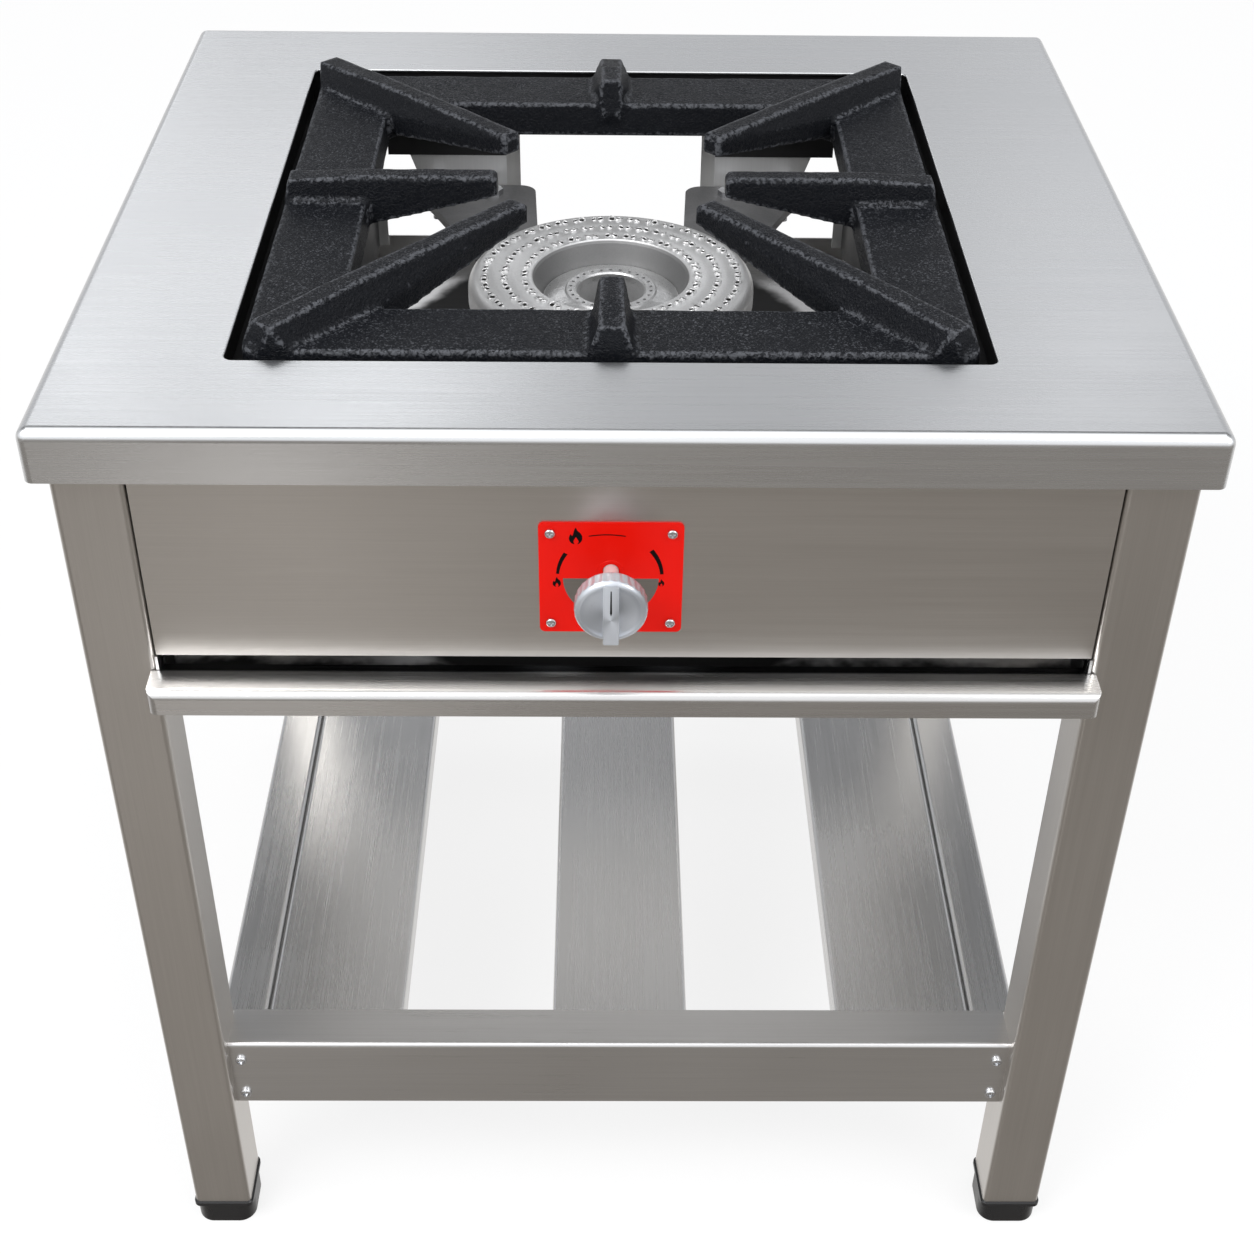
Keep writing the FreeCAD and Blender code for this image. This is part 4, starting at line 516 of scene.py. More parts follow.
class Palette:
    """All finishes, by the record's material slots and for the added pieces."""

    WARM = (0.66, 0.635, 0.605)
    BLACK = (0.010, 0.010, 0.011)
    SLOTS: dict[str, Finish] = {finish.name: finish for finish in (
        BrushedSteel("top_steel", (0.77, 0.78, 0.79), 0.27, cloud=0.14),
        BrushedSteel("leg_steel", WARM, 0.34, grain=Axis.Z, cloud=0.08, depth=0.12),
        BrushedSteel("panel_steel", WARM, 0.33, depth=0.14),
        BrushedSteel("shelf_steel", (0.70, 0.695, 0.69), 0.30, cloud=0.12),
        BrushedSteel("tray_steel", (0.74, 0.735, 0.73), 0.28, cloud=0.08, depth=0.12),
        BrushedSteel("hanger_steel", (0.80, 0.80, 0.795), 0.36, 0.7, grain=Axis.Z, cloud=0.15, depth=0.12),
        CastIron("grate_iron", (0.0048, 0.0056, 0.0078), 0.47, 0.0),
        PaintedCasting("carrier_iron", (0.25, 0.25, 0.255), 0.45, 0.6, depth=0.14),
        PaintedCasting("burner_iron", (0.72, 0.72, 0.72), 0.38, 0.75, depth=0.24, soot=0.18),
        Smooth("black_enamel", BLACK, 0.45, 0.0, depth=0.12),
        Smooth("black_plastic", BLACK, 0.30, 0.0, depth=0.08),
        Smooth("zinc_steel", (0.72, 0.73, 0.75), 0.26, depth=0.04),
        Smooth("brass", (0.72, 0.52, 0.22), 0.28),
        Smooth("spindle_steel", (0.74, 0.73, 0.72), 0.36, 0.35, depth=0.04),
        Turned("knob_aluminium", (0.66, 0.69, 0.74), 0.30, 0.62),
        Smooth("red_enamel", (0.62, 0.004, 0.0004), 0.36, 0.0, depth=0.04, mottle=0.08, gloss=0.10),
        Smooth("pipe_steel", (0.64, 0.64, 0.64), 0.30))}
    NODES: dict[str, Finish] = {
        "drip_tray": TrayShadeSteel("tray_floor_steel", (0.70, 0.695, 0.69), 0.30),
        "tray_handle": LipSteel("lip_steel", (0.72, 0.715, 0.71), 0.28, cloud=0.08, depth=0.12),
        "burner_ring": BurnerCap("burner_cap_iron", (0.76, 0.76, 0.76), 0.36, 0.70, depth=0.26, soot=0.10),
        "burner_inner_ring": PaintedCasting("burner_core_iron", (0.74, 0.74, 0.74), 0.30, 0.85, depth=1.0,
                                            lump_scale=190.0, soot=0.30, sandy=0.06),
        "side_guard_left": GuardPaint("guard_paint", BLACK, 0.42, 0.0, depth=0.12),
        "side_guard_right": GuardPaint("guard_right_paint", BLACK, 0.42, 0.0, depth=0.12),
    }
    NODES.update({
        node: BrushedSteel(node + "_steel", (0.72, 0.72, 0.72), 0.27, grain=Axis.Y, cloud=0.2)
        for node in ("shelf_slat_left", "shelf_slat_centre", "shelf_slat_right", "shelf_rail_left",
                     "shelf_rail_right")})
    NODES.update({node: BrushedSteel(node + "_steel", (0.66, 0.64, 0.615), 0.33, grain=Axis.Y) for node in (
        "side_panel_left", "side_panel_right")})
    # dark discs of painted shade for the burner's port holes
    PORT_SHADE = Smooth("port_shade", (0.012, 0.011, 0.010), 0.7, 0.0, depth=0.3, gloss=0.2)
    INK = Smooth("black_print", (0.004, 0.003, 0.003), 0.5, 0.0, depth=0.02, gloss=0.08)
    DISC = BrushedSteel("dial_steel", (0.42, 0.40, 0.38), 0.36, grain=Axis.X)

    @classmethod
    def dress(cls, frame: dict) -> dict[str, Material]:
        """Give every CAD node its material.


        Returns:
            The materials by slot name.
        """
        made = {name: finish.build() for name, finish in cls.SLOTS.items()}
        slots = {part["node"]: part["material_slot"] for part in frame["record"]["subparts"]}
        for name, node in frame["nodes"].items():
            material = cls.NODES[name].build() if name in cls.NODES else made[slots[name]]
            for slot in node.material_slots:
                slot.material = material
        return made


# ---- mesh helpers
class Mesh:
    """Helpers that turn bmesh work into placed objects."""

    @staticmethod
    def place(name: str, work: bmesh.types.BMesh, material: Material, smooth: float = 40.0
              ) -> Object:
        """Make an object of a bmesh, and free it.

        Args:
            name: The piece's name.
            work: The mesh, in metres in the row frame.
            material: Its only material.
            smooth: Edges sharper than this angle stay sharp.

        Returns:
            The linked object.
        """
        bmesh.ops.recalc_face_normals(work, faces=work.faces)
        limit = math.radians(smooth)
        for face in work.faces:
            face.smooth = True
        for edge in work.edges:
            edge.smooth = len(edge.link_faces) == 2 and edge.calc_face_angle(0.0) < limit
        data = bpy.data.meshes.new(name)
        work.to_mesh(data)
        work.free()
        data.materials.append(material)
        made = bpy.data.objects.new(name, data)
        bpy.context.scene.collection.objects.link(made)
        return made

    @staticmethod
    def applied(source: Object) -> bpy.types.Mesh:
        """The evaluated mesh of an object, as plain data."""
        graph = bpy.context.evaluated_depsgraph_get()
        graph.update()
        return bpy.data.meshes.new_from_object(source.evaluated_get(graph))

    @staticmethod
    def slab(work: bmesh.types.BMesh, outline: Sequence[Pair], front: float, back: float
             ) -> None:
        """Add an extruded outline of (x, z) points between two y planes."""
        Mesh.shell(work, [[work.verts.new((x, y, z)) for x, z in outline] for y in (front, back)])

    @staticmethod
    def shell(work: bmesh.types.BMesh, rows: Sequence[list[bmesh.types.BMVert]]) -> None:
        """Close rows of points into a solid, by a cap at each end and quads between."""
        work.faces.new(rows[0])
        work.faces.new(list(reversed(rows[-1])))
        for a, b in zip(rows, rows[1:]):
            for i in range(len(a)):
                j = (i + 1) % len(a)
                work.faces.new((a[i], b[i], b[j], a[j]))

    @staticmethod
    def bridge(work: bmesh.types.BMesh, rings: Sequence[list[bmesh.types.BMVert]], closed: bool) -> None:
        """Join rings of points by quads, and the last to the first when closed."""
        for low, high in zip(rings, rings[1:] + rings[:1] if closed else rings[1:]):
            for i in range(len(low)):
                k = (i + 1) % len(low)
                work.faces.new((low[i], low[k], high[k], high[i]))


class Scatter:
    """Copies of a small prototype at chosen points, by Geometry Nodes."""

    def __init__(self, name: str) -> None:
        self.name = name
        self.tree = bpy.data.node_groups.new(name + "_tree", "GeometryNodeTree")
        face = self.tree.interface
        kinds = (("Geometry", "Geometry"), ("Copy", "Object"), ("Least Scale", "Float"),
                 ("Most Scale", "Float"), ("Tilt", "Float"), ("Seed", "Int"), ("Finish", "Material"))
        self.ids = {label: face.new_socket(label, in_out="INPUT", socket_type="NodeSocket" + kind).identifier
                    for label, kind in kinds}
        face.new_socket("Geometry", in_out="OUTPUT", socket_type="NodeSocketGeometry")
        self._wire()

    def _wire(self) -> None:
        """Points, then turned and scaled copies, then a plain mesh with its material."""
        nodes, links = self.tree.nodes, self.tree.links
        start = nodes.new("NodeGroupInput")
        end = nodes.new("NodeGroupOutput")
        copy = nodes.new("GeometryNodeObjectInfo")
        scale = nodes.new("FunctionNodeRandomValue")
        turn = nodes.new("FunctionNodeRandomValue")
        turn.data_type = "FLOAT_VECTOR"
        low, high = nodes.new("ShaderNodeCombineXYZ"), nodes.new("ShaderNodeCombineXYZ")
        negative = nodes.new("ShaderNodeMath")
        negative.operation = "MULTIPLY"
        negative.inputs[1].default_value = -1.0
        put = nodes.new("GeometryNodeInstanceOnPoints")
        real = nodes.new("GeometryNodeRealizeInstances")
        paint = nodes.new("GeometryNodeSetMaterial")
        high.inputs["Z"].default_value = 2 * math.pi
        by = {socket.name: socket for socket in start.outputs}
        wires = [(by["Tilt"], negative.inputs[0]), (low.outputs[0], turn.inputs[0]),
                 (high.outputs[0], turn.inputs[1]), (by["Seed"], turn.inputs["Seed"]),
                 (by["Seed"], scale.inputs["Seed"]), (by["Least Scale"], scale.inputs[2]),
                 (by["Most Scale"], scale.inputs[3]), (by["Copy"], copy.inputs["Object"]),
                 (by["Geometry"], put.inputs["Points"]), (copy.outputs["Geometry"], put.inputs["Instance"]),
                 (turn.outputs[0], put.inputs["Rotation"]), (scale.outputs[1], put.inputs["Scale"]),
                 (put.outputs[0], real.inputs[0]), (real.outputs[0], paint.inputs["Geometry"]),
                 (by["Finish"], paint.inputs["Material"]), (paint.outputs[0], end.inputs[0])]
        for axis in ("X", "Y"):
            wires += [(negative.outputs[0], low.inputs[axis]), (by["Tilt"], high.inputs[axis])]
        for source, target in wires:
            links.new(source, target)

    def run(self, points: Sequence[Vector], prototype: Object, material: Material,
            scales: Pair, tilt: float, seed: int) -> Object:
        """Copy the prototype to the points.

        Args:
            points: Where the copies go, in the row frame.
            prototype: The object to copy; it is deleted afterwards.
            material: The copies' material.
            scales: Least and most scale.
            tilt: Most tilt, in radians.
            seed: The random seed.

        Returns:
            One plain mesh object with all copies.
        """
        data = bpy.data.meshes.new(self.name)
        data.from_pydata([tuple(p) for p in points], [], [])
        made = bpy.data.objects.new(self.name, data)
        bpy.context.scene.collection.objects.link(made)
        modifier = made.modifiers.new("scatter", "NODES")
        modifier.node_group = self.tree
        for label, value in (("Copy", prototype), ("Least Scale", scales[0]), ("Most Scale", scales[1]),
                             ("Tilt", tilt), ("Seed", seed), ("Finish", material)):
            modifier[self.ids[label]] = value
        plain = Mesh.applied(made)
        made.modifiers.remove(modifier)
        made.data = plain
        for polygon in plain.polygons:
            polygon.use_smooth = True
        bpy.data.objects.remove(prototype)
        return made


# ---- grate
@dataclass
class Grate:
    """The iron grate as a rounded, slightly uneven casting."""

    voxel: float = 1.58 * MM
    rounds: int = 5
    edge: float = 0.075
    lumps: tuple[Pair, ...] = ((45.0, 0.30 * MM), (170.0, 0.16 * MM))
    pull: float = 0.50
    push: float = 0.51
    top_from: float = 0.5
    top_span: float = 0.4

    def build(self, frame: dict, material: Material) -> Object:
        """Remesh the CAD casting, soften its edges and mark its curved edges and up-facing tops, where the
        iron paints pale wear and painted highlight.

        Args:
            material: The iron material.

        Returns:
            The piece that stands for the CAD grate.
        """
        source = frame["nodes"]["grate"]
        rough = bpy.data.objects.new("grate_work", source.data.copy())
        bpy.context.scene.collection.objects.link(rough)
        remesh = rough.modifiers.new("voxels", "REMESH")
        remesh.mode = "VOXEL"
        remesh.voxel_size = self.voxel
        data = Mesh.applied(rough)
        bpy.data.objects.remove(rough)
        points = np.zeros(len(data.vertices) * 3)
        data.vertices.foreach_get("co", points)
        points = points.reshape(-1, 3)
        ends = np.zeros(len(data.edges) * 2, int)
        data.edges.foreach_get("vertices", ends)
        ends = ends.reshape(-1, 2)
        points = self._softened(points, ends)
        data.vertices.foreach_set("co", points.ravel())
        data.update()
        normals = np.zeros(points.size)
        data.vertex_normals.foreach_get("vector", normals)
        normals = normals.reshape(-1, 3)
        bend = self._mean(points, ends) - points
        curve = -(bend * normals).sum(1)
        curve = 0.5 * curve + 0.5 * self._mean(curve[:, None], ends)[:, 0]
        # edge curvature and up-facing masks, which the iron uses for pale wear and painted highlight
        masks = {"edge_curvature": np.clip(np.abs(curve) / (self.edge * self.voxel), 0.0, 1.0),
                 "top": np.clip((normals[:, 2] - self.top_from) / self.top_span, 0.0, 1.0)}
        for scale, height in self.lumps:
            waves = np.array([noise.noise(Vector(p) * scale) for p in points])
            points += normals * (height * (waves - 0.5))[:, None]
        data.vertices.foreach_set("co", points.ravel())
        for name, values in masks.items():
            layer = data.attributes.new(name, "FLOAT", "POINT")
            layer.data.foreach_set("value", values.astype(np.float32))
        for polygon in data.polygons:
            polygon.use_smooth = True
        data.materials.clear()
        data.materials.append(material)
        made = bpy.data.objects.new("grate_casting", data)
        bpy.context.scene.collection.objects.link(made)
        LOG.info("grate casting: %d faces", len(data.polygons))
        return made

    @staticmethod
    def _mean(values: np.ndarray, ends: np.ndarray) -> np.ndarray:
        """Each vertex's mean over its neighbours."""
        total = np.zeros_like(values)
        count = np.zeros(len(values))
        for a, b in ((0, 1), (1, 0)):
            np.add.at(total, ends[:, a], values[ends[:, b]])
            np.add.at(count, ends[:, a], 1.0)
        return total / np.maximum(count, 1.0)[:, None]

    def _softened(self, points: np.ndarray, ends: np.ndarray) -> np.ndarray:
        """Smooth, with each second step pushing out again to keep the size."""
        for _ in range(self.rounds):
            points = points + self.pull * (self._mean(points, ends) - points)
            points = points - self.push * (self._mean(points, ends) - points)
        return points


# ---- burner
@dataclass
class Ports:
    """The paired ports of the burner's outer ring, each a dark disc of painted shade in its hole, inside an
    uneven burr.
    """

    centre: Pair = BURNER
    rows: tuple[float, ...] = (53.5, 66.0, 78.0)
    pitch: float = 12.0
    pair: float = 4.6
    wander: float = 0.45
    pit: float = 1.55
    ring: float = 1.95
    tube: float = 0.72
    burr_sides: tuple[int, int] = (14, 7)
    pit_sides: int = 12
    seed: int = 11

    def points(self, top: float) -> list[Vector]:
        """The places of the ports, on the ring's top."""
        places = []
        for radius in self.rows:
            count = round(2 * math.pi * radius / self.pitch)
            for i in range(count):
                for side in (-1, 1):
                    turn = 2 * math.pi * i / count + side * self.pair / 2 / radius
                    stray = noise.noise_vector(Vector((radius, 7.3 * i, 3.1 * side))) * self.wander
                    places.append(Vector((self.centre[0] + (radius * math.cos(turn) + stray.x) * MM,
                                          self.centre[1] + (radius * math.sin(turn) + stray.y) * MM, top)))
        return places

    @staticmethod
    def prototype(name: str, rows: list[list[tuple[float, float, float]]], closed: bool) -> Object:
        """A form of rings of points in mm, closed into a tube or capped at both ends."""
        work = bmesh.new()
        made = [[work.verts.new((x * MM, y * MM, z * MM)) for x, y, z in row] for row in rows]
        Mesh.bridge(work, made, closed)
        if not closed:
            work.faces.new(list(reversed(made[0])))
            work.faces.new(made[-1])
        bmesh.ops.recalc_face_normals(work, faces=work.faces)
        data = bpy.data.meshes.new(name)
        work.to_mesh(data)
        work.free()
        form = bpy.data.objects.new(name, data)
        bpy.context.scene.collection.objects.link(form)
        return form

    def burr(self) -> Object:
        """One uneven ring, higher on one side as the drill left it."""
        around, about = self.burr_sides
        rows = []
        for i in range(around):
            turn = 2 * math.pi * i / around
            high = 0.95 + 0.75 * math.sin(turn) + 0.25 * math.sin(3 * turn + 1.0)
            reach = self.ring + 0.14 * math.sin(2 * turn) + 0.10 * math.sin(5 * turn)
            row = []
            for j in range(about):
                bend = 2 * math.pi * j / about
                r = reach + self.tube * math.cos(bend) * (0.75 + 0.25 * math.cos(2 * turn))
                row.append((r * math.cos(turn), r * math.sin(turn), self.tube * high * math.sin(bend)))
            rows.append(row)
        return self.prototype("burr", rows, True)

    def plug(self) -> Object:
        """One dark shallow disc of painted shade, standing in for a port hole's dark depth."""
        def ring(radius: float, z: float) -> list[tuple[float, float, float]]:
            turns = (2 * math.pi * i / self.pit_sides for i in range(self.pit_sides))
            return [(radius * math.cos(turn), radius * math.sin(turn), z) for turn in turns]
        rows = [ring(self.pit, -0.05), ring(self.pit, 0.06), ring(self.pit * 0.8, 0.09)]
        return self.prototype("pit", rows, False)

    def build(self, metal: Material, dark: Material) -> list[Object]:
        """Make all burrs as one piece and all dark shade discs as another."""
        places = self.points(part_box("burner_ring")[1].z)
        return [Scatter("port_burrs").run(places, self.burr(), metal, (0.78, 1.22), 0.10, self.seed),
                Scatter("port_pits").run(places, self.plug(), dark, (0.82, 1.10), 0.0, self.seed)]


# ---- controls
def smooth_outline(points: Sequence[Pair], steps: int = 6) -> list[Pair]:
    """A closed rounded outline through points, by Catmull-Rom."""
    result = []
    count = len(points)
    for i in range(count):
        p0, p1, p2, p3 = (Vector(points[(i + k) % count]) for k in (-1, 0, 1, 2))
        for s in range(steps):
            t = s / steps
            p = 0.5 * ((2 * p1) + (p2 - p0) * t + (2 * p0 - 5 * p1 + 4 * p2 - p3) * t * t
                       + (3 * p1 - p0 - 3 * p2 + p3) * t ** 3)
            result.append((p.x, p.y))
    return result


@dataclass
class DialMarks:
    """Plain printed marks on the red plate: flames, arcs and a steel half disc."""

    centre: Pair = (-8.6, 553.0)
    arc_radius: float = 27.2
    thick: float = 0.05
    disc_radius: float = 25.0
    disc_centre: Pair = (-8.0, 552.0)
    spindle: Pair = SPINDLE_MM
    sides: int = 48

    FLAME = ((0.0, 5.2), (0.9, 3.4), (2.4, 1.9), (3.3, 0.0), (3.3, -2.2), (2.2, -4.2), (0.9, -4.9),
             (1.5, -3.4), (0.9, -1.9), (0.1, -0.7), (-0.8, -2.2), (-1.2, -3.4), (-0.7, -4.9), (-2.3, -4.2),
             (-3.4, -2.3), (-3.3, -0.2), (-2.5, 1.3), (-1.9, 0.1), (-1.3, 1.4), (-0.9, 3.2))
    FLAMES = ((-26.2, 578.6, 1.0), (-36.2, 549.6, 0.62), (18.4, 549.4, 0.45))
    ARCS = ((176.0, 147.0, 1.5, 2.3), (4.0, 38.0, 1.8, 2.6))
    LINE_FROM, LINE_LONG, LINE_RISE, LINE_THICK = (-19.5, 579.0), 19.0, 0.9, 0.62
    GROMMET = ((4.2, -0.8), (4.2, 0.1), (4.4, 0.3), (6.3, 0.3), (6.6, 0.0), (5.9, 0.0), (5.9, -0.8))

    def flame(self, x: float, z: float, size: float) -> list[Pair]:
        """A flame's outline round a place, in metres."""
        return [((x + u * size) * MM, (z + v * size) * MM) for u, v in smooth_outline(self.FLAME)]

    def arc(self, start: float, end: float, thin: float, broad: float) -> list[Pair]:
        """A tapering arc between two angles in degrees, in metres."""
        outer, inner = [], []
        steps = 24
        for i in range(steps + 1):
            t = i / steps
            turn = math.radians(start + (end - start) * t)
            half = 0.5 * (thin + (broad - thin) * t)
            for row, radius in ((outer, self.arc_radius + half), (inner, self.arc_radius - half)):
                row.append(((self.centre[0] + radius * math.cos(turn)) * MM,
                            (self.centre[1] + radius * math.sin(turn)) * MM))
        return outer + inner[::-1]

    def build(self, ink: Material, steel: Material, plate: Material
              ) -> list[Object]:
        """Make the prints just in front of the plate's face, and the spindle's grommet."""
        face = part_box("control_plate")[0].y
        front = face - self.thick * MM
        marks = bmesh.new()
        outlines = [self.flame(*place) for place in self.FLAMES] + [self.arc(*span) for span in self.ARCS]
        for outline in outlines:
            Mesh.slab(marks, outline, front, face)
        x0, z0 = self.LINE_FROM
        line = [((x0 + self.LINE_LONG * i / 20) * MM, (z0 + self.LINE_RISE * math.sin(math.pi * i / 20)) * MM)
                for i in range(21)]
        Mesh.slab(marks, line + [(x, z - self.LINE_THICK * MM) for x, z in reversed(line)], front, face)
        disc = bmesh.new()
        half = [((self.disc_centre[0] + self.disc_radius * math.cos(t)) * MM,
                 (self.disc_centre[1] + self.disc_radius * math.sin(t)) * MM)
                for t in (math.pi + math.pi * i / 48 for i in range(49))]
        Mesh.slab(disc, half, face - 0.4 * self.thick * MM, face)
        return [Mesh.place("dial_marks", marks, ink), Mesh.place("dial_half_disc", disc, steel),
                self._grommet(face, plate)]

    def _grommet(self, face: float, plate: Material) -> Object:
        """A painted ring that fills the plate's hole round the spindle."""
        x0, z0 = self.spindle
        work = bmesh.new()
        rows = []
        turns = [2 * math.pi * i / self.sides for i in range(self.sides)]
        for radius, lift in self.GROMMET:
            rows.append([work.verts.new(((x0 + radius * math.cos(turn)) * MM, face - lift * MM,
                                         (z0 + radius * math.sin(turn)) * MM)) for turn in turns])
        Mesh.bridge(work, rows, True)
        return Mesh.place("spindle_grommet", work, plate)


@dataclass
class Knob:
    """The aluminium knob: fluted skirt, dished face and a raised grip with a pointer line."""

    axis: Pair = SPINDLE_MM
    radius: float = 18.8
    flutes: int = 28
    flute: float = 0.55
    sides: int = 288
    grip: float = 8.2
    half: float = 16.9
    rise: float = 6.5
    rise_top: float = 1.7
    face: float = 10.5
    foot: float = 1.5
    POINTER = ((-0.28, 15.2), (0.28, 15.2), (0.50, 4.0), (0.0, 2.6), (-0.50, 4.0))

    def profile(self) -> list[tuple[float, float, float]]:
        """(radius, height from the back, flute share) rings from back to face."""
        r = self.radius
        return [(4.05, -3.0, 0), (7.5, -3.0, 0), (7.5, 0.0, 0), (r - 1.4, 0.0, 0), (r - 0.7, 0.25, 0),
                (r - 0.25, 0.8, 0.4), (r, 1.3, 1), (r, 3.0, 1), (r, 5.0, 1), (r, 7.0, 1), (r, 7.7, 0.8),
                (r - 0.2, 8.3, 0.1), (r - 0.5, 8.9, 0), (r - 1.3, 9.8, 0), (r - 2.2, 10.3, 0),
                (r - 3.0, 10.42, 0), (r - 3.4, 10.3, 0), (r - 3.8, 9.95, 0), (r - 6.0, 9.7, 0), (9.0, 9.5, 0),
                (5.0, 9.4, 0), (0.6, 9.4, 0)]

    def build(self, metal: Material, ink: Material) -> list[Object]:
        """Make the knob and its pointer line."""
        back_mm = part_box("knob")[1].y / MM
        x0, z0 = self.axis
        work = bmesh.new()
        rows = []
        for radius, height, share in self.profile():
            row = []
            for i in range(self.sides):
                turn = 2 * math.pi * i / self.sides
                wave = (0.5 - 0.5 * math.cos(self.flutes * turn)) ** 0.6
                r = radius - self.flute * share * wave
                y = back_mm - height if height >= 0 else back_mm
                row.append(work.verts.new(((x0 + r * math.cos(turn)) * MM, y * MM,
                                           (z0 + r * math.sin(turn)) * MM)))
            rows.append(row)
        Mesh.bridge(work, rows, False)
        work.faces.new(rows[-1])
        bmesh.ops.remove_doubles(work, verts=work.verts, dist=1e-7)
        body = Mesh.place("knob_body", work, metal, 50.0)
        return [body, self._grip(back_mm - self.face, metal), self._pointer(back_mm - self.face, ink)]

    def _section(self, face: float, ridge: float) -> list[Pair]:
        """The grip's side outline as (y, z) in mm; ridge is where its slope ends."""
        z0 = self.axis[1]
        return [(face + 2.4, z0 + self.half), (face - self.rise_top, z0 + self.half),
                (face - self.rise, z0 + ridge), (face - self.rise, z0 - self.half + self.foot),
                (face + 2.4, z0 - self.half)]

    def _grip(self, face: float, metal: Material) -> Object:
        """The raised bar across the face."""
        x0 = self.axis[0]
        work = bmesh.new()
        rows = [[work.verts.new(((x0 + u) * MM, y * MM, z * MM)) for y, z in self._section(face, ridge)]
                for u, ridge in ((-self.grip / 2, -3.2), (0.0, 1.5), (self.grip / 2, -3.2))]
        Mesh.shell(work, rows)
        outer = {v for row in (rows[0], rows[2]) for v in row}
        front = [e for e in work.edges if all(v in outer for v in e.verts)
                 and min(v.co.y for v in e.verts) < face * MM]
        bmesh.ops.bevel(work, geom=front, offset=0.8 * MM, segments=4, profile=0.5, affect="EDGES")
        return Mesh.place("knob_grip", work, metal, 50.0)

    def _pointer(self, face: float, ink: Material) -> Object:
        """The dark line from the rim to a point at the middle, on the grip's slope."""
        x0, z0 = self.axis
        work = bmesh.new()
        slope = (self.rise - self.rise_top) / (self.half - self.foot)
        sheet = []
        for lift in (0.06, -0.2):
            sheet.append([work.verts.new((
                (x0 + u) * MM, (face - self.rise_top - (self.half - v) * slope - lift) * MM, (z0 + v) * MM))
                for u, v in self.POINTER])
        Mesh.shell(work, sheet)
        return Mesh.place("knob_pointer", work, ink)


# ---- studio
@dataclass(frozen=True)
class Patch:
    """A soft patch of tone in the world, seen by light and reflections."""

    azimuth: float
    height: float
    inner: float
    outer: float
    tone: Colour

    def share(self, graph: Graph, where: Sock) -> Sock:
        """1 inside the patch, 0 outside; azimuth is from +Y to +X, height from level, in degrees."""
        turn, rise = math.radians(self.azimuth), math.radians(self.height)
        middle = (math.sin(turn) * math.cos(rise), math.cos(turn) * math.cos(rise), math.sin(rise))
        near = graph.node("VectorMath", {"operation": "DOT_PRODUCT"}, out="Value", i0=where,
                          i1=middle)
        return graph.ramp(near, math.cos(math.radians(self.outer)), math.cos(math.radians(self.inner)))


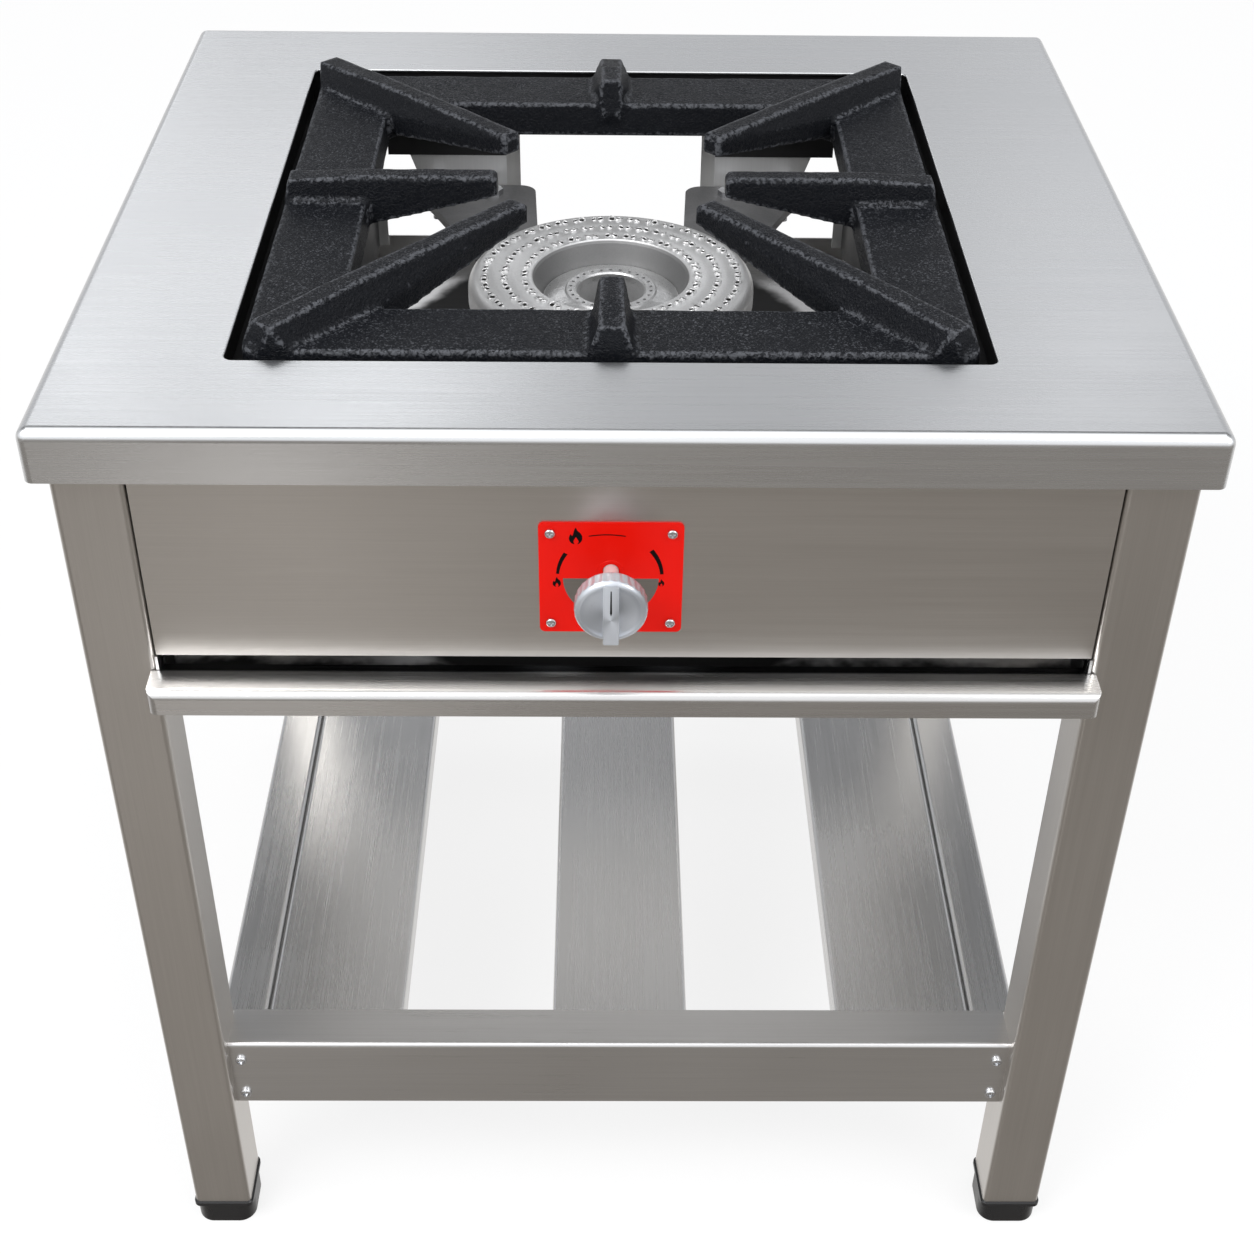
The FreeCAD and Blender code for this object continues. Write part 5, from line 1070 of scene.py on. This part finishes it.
@dataclass
class Studio:
    """White studio: floor, world, soft boxes and the photograph's camera."""

    place: tuple[float, float, float] = (-12.022, -1062.616, 1137.438)
    yaw: float = 0.0158150182
    pitch: float = 0.662458609
    roll: float = 0.0139532850
    focal_px: float = 1922.791
    middle_px: Pair = (626.792, 654.942)
    front_floor: Colour = (0.25, 0.232, 0.213)
    rear_floor: Colour = (0.78, 0.77, 0.76)
    front_sky: Colour = (1.05, 1.06, 1.08)
    zenith: Colour = (1.50, 1.51, 1.53)
    low_sky: Colour = (0.58, 0.585, 0.60)
    high_sky: Colour = (0.12, 0.122, 0.126)
    side_width: float = 0.35
    horizon: float = 0.16
    dark_band: Pair = (0.49, 0.62)
    top_band: Pair = (0.80, 0.94)
    patches: tuple[Patch, ...] = (
        Patch(-8, 30, 2, 6, (1.9, 1.92, 1.96)), Patch(-19, 30, 2, 5, (2.0, 2.02, 2.06)),
        Patch(16, 30, 2, 7, (1.2, 1.21, 1.24)),
        Patch(-17, 21, 1, 6, (1.3, 1.31, 1.34)), Patch(-167.5, -35, 1, 6, (1.35, 1.29, 1.24)),
        Patch(0, 42, 2, 6, (0.50, 0.50, 0.51)))

    def camera(self) -> None:
        """Set up the camera of the photograph."""
        data = bpy.data.cameras.new("camera")
        data.sensor_fit = "HORIZONTAL"
        data.sensor_width = 36.0
        data.lens = self.focal_px / IMAGE_SIDE * 36.0
        data.shift_x = (IMAGE_SIDE / 2 - self.middle_px[0]) / IMAGE_SIDE
        data.shift_y = (self.middle_px[1] - IMAGE_SIDE / 2) / IMAGE_SIDE
        data.clip_start, data.clip_end = 0.05, 60.0
        ahead = Vector((math.sin(self.yaw) * math.cos(self.pitch), math.cos(self.yaw) * math.cos(self.pitch),
                        -math.sin(self.pitch)))
        level = Vector((math.cos(self.yaw), -math.sin(self.yaw), 0.0))
        over = level.cross(ahead)
        right = level * math.cos(self.roll) + over * math.sin(self.roll)
        up = over * math.cos(self.roll) - level * math.sin(self.roll)
        made = bpy.data.objects.new("camera", data)
        made.matrix_world = Matrix((
            (right.x, up.x, -ahead.x, self.place[0] * MM), (right.y, up.y, -ahead.y, self.place[1] * MM),
            (right.z, up.z, -ahead.z, self.place[2] * MM), (0.0, 0.0, 0.0, 1.0)))
        bpy.context.scene.collection.objects.link(made)
        bpy.context.scene.camera = made

    def world(self) -> None:
        """White to the camera; to light and reflections, soft patches by direction."""
        made = bpy.data.worlds.new("studio")
        made.use_nodes = True
        bpy.context.scene.world = made
        graph = Graph(made.node_tree)
        where = graph.node("TexCoord", out="Generated")
        _, y, z = graph.parts(where)
        ahead = graph.ramp(y, -self.side_width, self.side_width)
        below = graph.mix(ahead, rgba(self.front_floor), rgba(self.rear_floor))
        rear = graph.mix(graph.ramp(z, *self.dark_band), rgba(self.low_sky), rgba(self.high_sky))
        above = graph.mix(ahead, rgba(self.front_sky), rear)
        above = graph.mix(graph.ramp(z, *self.top_band), above, rgba(self.zenith))
        seen = graph.mix(graph.ramp(z, -self.horizon, self.horizon), below, above)
        for patch in self.patches:
            seen = graph.mix(patch.share(graph, where), seen, rgba(patch.tone))
        camera = graph.node("LightPath", out="Is Camera Ray")
        white = graph.node("Background", Color=(1.0, 1.0, 1.0, 1.0), Strength=1.0)
        light = graph.node("Background", Color=seen, Strength=1.0)
        mixed = graph.node("MixShader", i0=camera, i1=light, i2=white)
        end = graph.tree.nodes.new("ShaderNodeOutputWorld")
        graph.plug(end.inputs["Surface"], mixed)

    @staticmethod
    def box(name: str, place: Sequence[float], target: Sequence[float], size: Pair,
            watts: float) -> None:
        """A soft box that looks at a target."""
        data = bpy.data.lights.new(name, "AREA")
        data.shape = "RECTANGLE"
        data.size, data.size_y = size
        data.energy = watts
        made = bpy.data.objects.new(name, data)
        made.location = place
        made.rotation_euler = (Vector(target) - Vector(place)).to_track_quat("-Z", "Y").to_euler()
        bpy.context.scene.collection.objects.link(made)

    def floor(self) -> None:
        """A pale floor that reflections don't show."""
        work = bmesh.new()
        bmesh.ops.create_grid(work, x_segments=8, y_segments=8, size=9.0)
        material = bpy.data.materials.new("studio_floor")
        material.use_nodes = True
        graph = Graph(material.node_tree)
        matt = graph.node("BsdfPrincipled", Base_Color=(0.93, 0.93, 0.93, 1.0), Roughness=0.9)
        glow = graph.node("Emission", Color=(1.0, 1.0, 1.0, 1.0), Strength=1.0)
        camera = graph.node("LightPath", out="Is Camera Ray")
        graph.node_out(graph.node("MixShader", i0=camera * 0.80, i1=matt, i2=glow))
        made = Mesh.place("floor", work, material)
        made.visible_glossy = False

    def build(self) -> None:
        """Camera, world, floor and lights."""
        self.camera()
        self.world()
        self.floor()
        middle = (0.0, 0.0, 0.60)
        self.box("key", (-1.2, -1.3, 2.3), middle, (1.3, 0.9), 34.0)
        self.box("fill", (1.5, -1.2, 1.9), middle, (1.0, 0.9), 14.0)
        scene = bpy.context.scene
        scene.view_settings.view_transform = "Standard"


# ---- whole
class Range:
    """Dresses the CAD frame and adds the finer pieces."""

    def __init__(self, frame: dict) -> None:
        self.frame = frame
        self.materials = Palette.dress(frame)

    def build(self) -> None:
        """Make and attach every added piece."""
        iron = Grate().build(self.frame, self.materials["grate_iron"])
        self.attach(iron, "grate", "grate_iron", "grate")
        ink, disc = Palette.INK.build(), Palette.DISC.build()
        for piece in Ports().build(self.materials["burner_iron"], Palette.PORT_SHADE.build()):
            self.attach(piece, "range", "burner_iron")
        for piece in DialMarks().build(ink, disc, self.materials["red_enamel"]):
            self.attach(piece, "range", "red_enamel")
        body, grip, pointer = Knob().build(self.materials["knob_aluminium"], ink)
        self.attach(body, "knob", "knob_aluminium", "knob")
        self.attach(grip, "knob", "knob_aluminium", "knob")
        self.attach(pointer, "knob", "knob_aluminium")

    @staticmethod
    def attach(piece: Object, body: str, slot: str, *nodes: str) -> None:
        """Let a piece ride on a body and hide the CAD nodes that it stands for."""
        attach(piece, body)
        if nodes:
            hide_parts(*nodes)


def main() -> None:
    """Load the frame, dress it and set up the studio."""
    logging.basicConfig(level=logging.INFO, format="%(message)s")
    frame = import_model()
    Range(frame).build()
    Studio().build()


if __name__ == "__main__":
    main()
